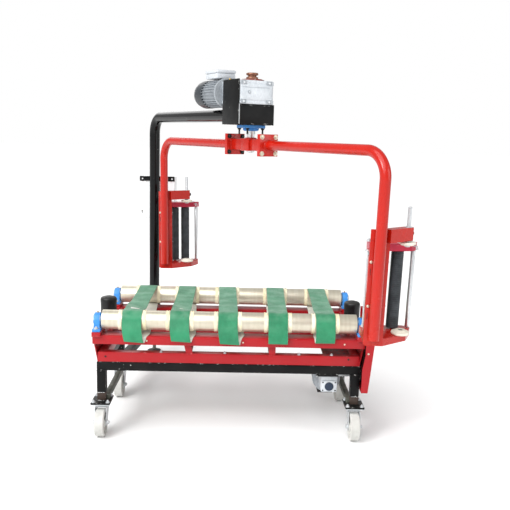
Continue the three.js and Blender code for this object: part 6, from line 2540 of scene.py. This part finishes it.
# ------------------------------------------------------------------ studio
@dataclass(frozen=True)
class Studio:
    """Floor, lights and camera."""

    eye: Point = (-0.0235, -3.480, 1.342)
    yaw: float = 0.0229
    pitch: float = 0.1680
    roll: float = 0.0263
    lens: float = 50.0
    sensor: float = 36.0
    aim: Point = (0.0, 0.0, 0.7)
    floor_half: float = 60.0
    floor_level: float = -0.0005
    surround: float = 0.5
    sun: float = 2.9

    def build(self, finishes: Finishes) -> None:
        """Sets the stage.

        Args:
            finishes: the shop that makes materials.
        """
        mesh = bpy.data.meshes.new("studio_floor")
        part = bmesh.new()
        bmesh.ops.create_grid(part, x_segments=8, y_segments=8, size=self.floor_half)
        part.to_mesh(mesh)
        part.free()
        mesh.materials.append(finishes.material(Look.FLOOR))
        floor = new_object("studio_floor", mesh)
        floor.location.z = self.floor_level
        self._lights()
        self._camera()

    def _lights(self) -> None:
        """Adds soft lights and a pale surround."""
        world = bpy.data.worlds.new("surround")
        bpy.context.scene.world = world
        world.use_nodes = True
        nodes, links = world.node_tree.nodes, world.node_tree.links
        seen = nodes.new("ShaderNodeLightPath")
        level = nodes.new("ShaderNodeMapRange")
        level.inputs["To Min"].default_value = self.surround
        level.inputs["To Max"].default_value = 1.0
        links.new(seen.outputs["Is Camera Ray"], level.inputs["Value"])
        background = nodes["Background"]
        background.inputs["Color"].default_value = (1.0, 1.0, 1.0, 1.0)
        links.new(level.outputs["Result"], background.inputs["Strength"])
        for name, kind, at, size, power in (
            ("sun", "SUN", (-2.0, -2.6, 4.0), 1.2, self.sun),
            ("key", "AREA", (-2.6, -3.2, 3.0), 1.0, 60.0),
            ("fill", "AREA", (3.4, -2.4, 2.0), 1.8, 26.0),
            ("back", "AREA", (-1.5, 4.0, 2.8), 2.5, 30.0),
        ):
            light = bpy.data.lights.new(name, kind)
            light.energy = power
            if kind == "SUN":
                light.angle = size
            else:
                light.size = size
            lamp = new_object(name, light)
            lamp.location = at
            aim = Vector(self.aim) - Vector(at)
            lamp.rotation_euler = aim.to_track_quat("-Z", "Y").to_euler()

    def _camera(self) -> None:
        """Adds the camera."""
        flat = math.cos(self.pitch)
        ahead = Vector((math.sin(self.yaw) * flat, math.cos(self.yaw) * flat, -math.sin(self.pitch)))
        right = Vector((math.cos(self.yaw), -math.sin(self.yaw), 0))
        down = ahead.cross(right)
        if down.z > 0:
            down = -down
        rolled = right * math.cos(self.roll) - down * math.sin(self.roll)
        below = right * math.sin(self.roll) + down * math.cos(self.roll)
        place = Matrix.Identity(4)
        for column, vector in enumerate((rolled, -below, -ahead, Vector(self.eye))):
            place.col[column][:3] = vector
        data = bpy.data.cameras.new("view")
        data.lens, data.sensor_width = self.lens, self.sensor
        camera = new_object("view", data)
        camera.matrix_world = place
        bpy.context.scene.camera = camera


def main() -> None:
    """Builds the whole machine over its frame."""
    logging.basicConfig(level=logging.INFO, format="%(name)s: %(message)s")
    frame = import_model()
    site = survey(frame["record"])
    finishes = Finishes()
    bpy.context.scene.view_settings.view_transform = "Standard"
    assemblies: list[Assembly] = [WheeledBase(), Casters(), Table(), RollerBed(), RollerDrive(), Mast(),
                                  Head(), TwinArm()]
    assemblies += [Dispenser(side=side) for side in SIDES]
    for assembly in assemblies:
        assembly.build(site)
        assembly.dress(finishes)
    Studio().build(finishes)


if __name__ == "__main__":
    main()
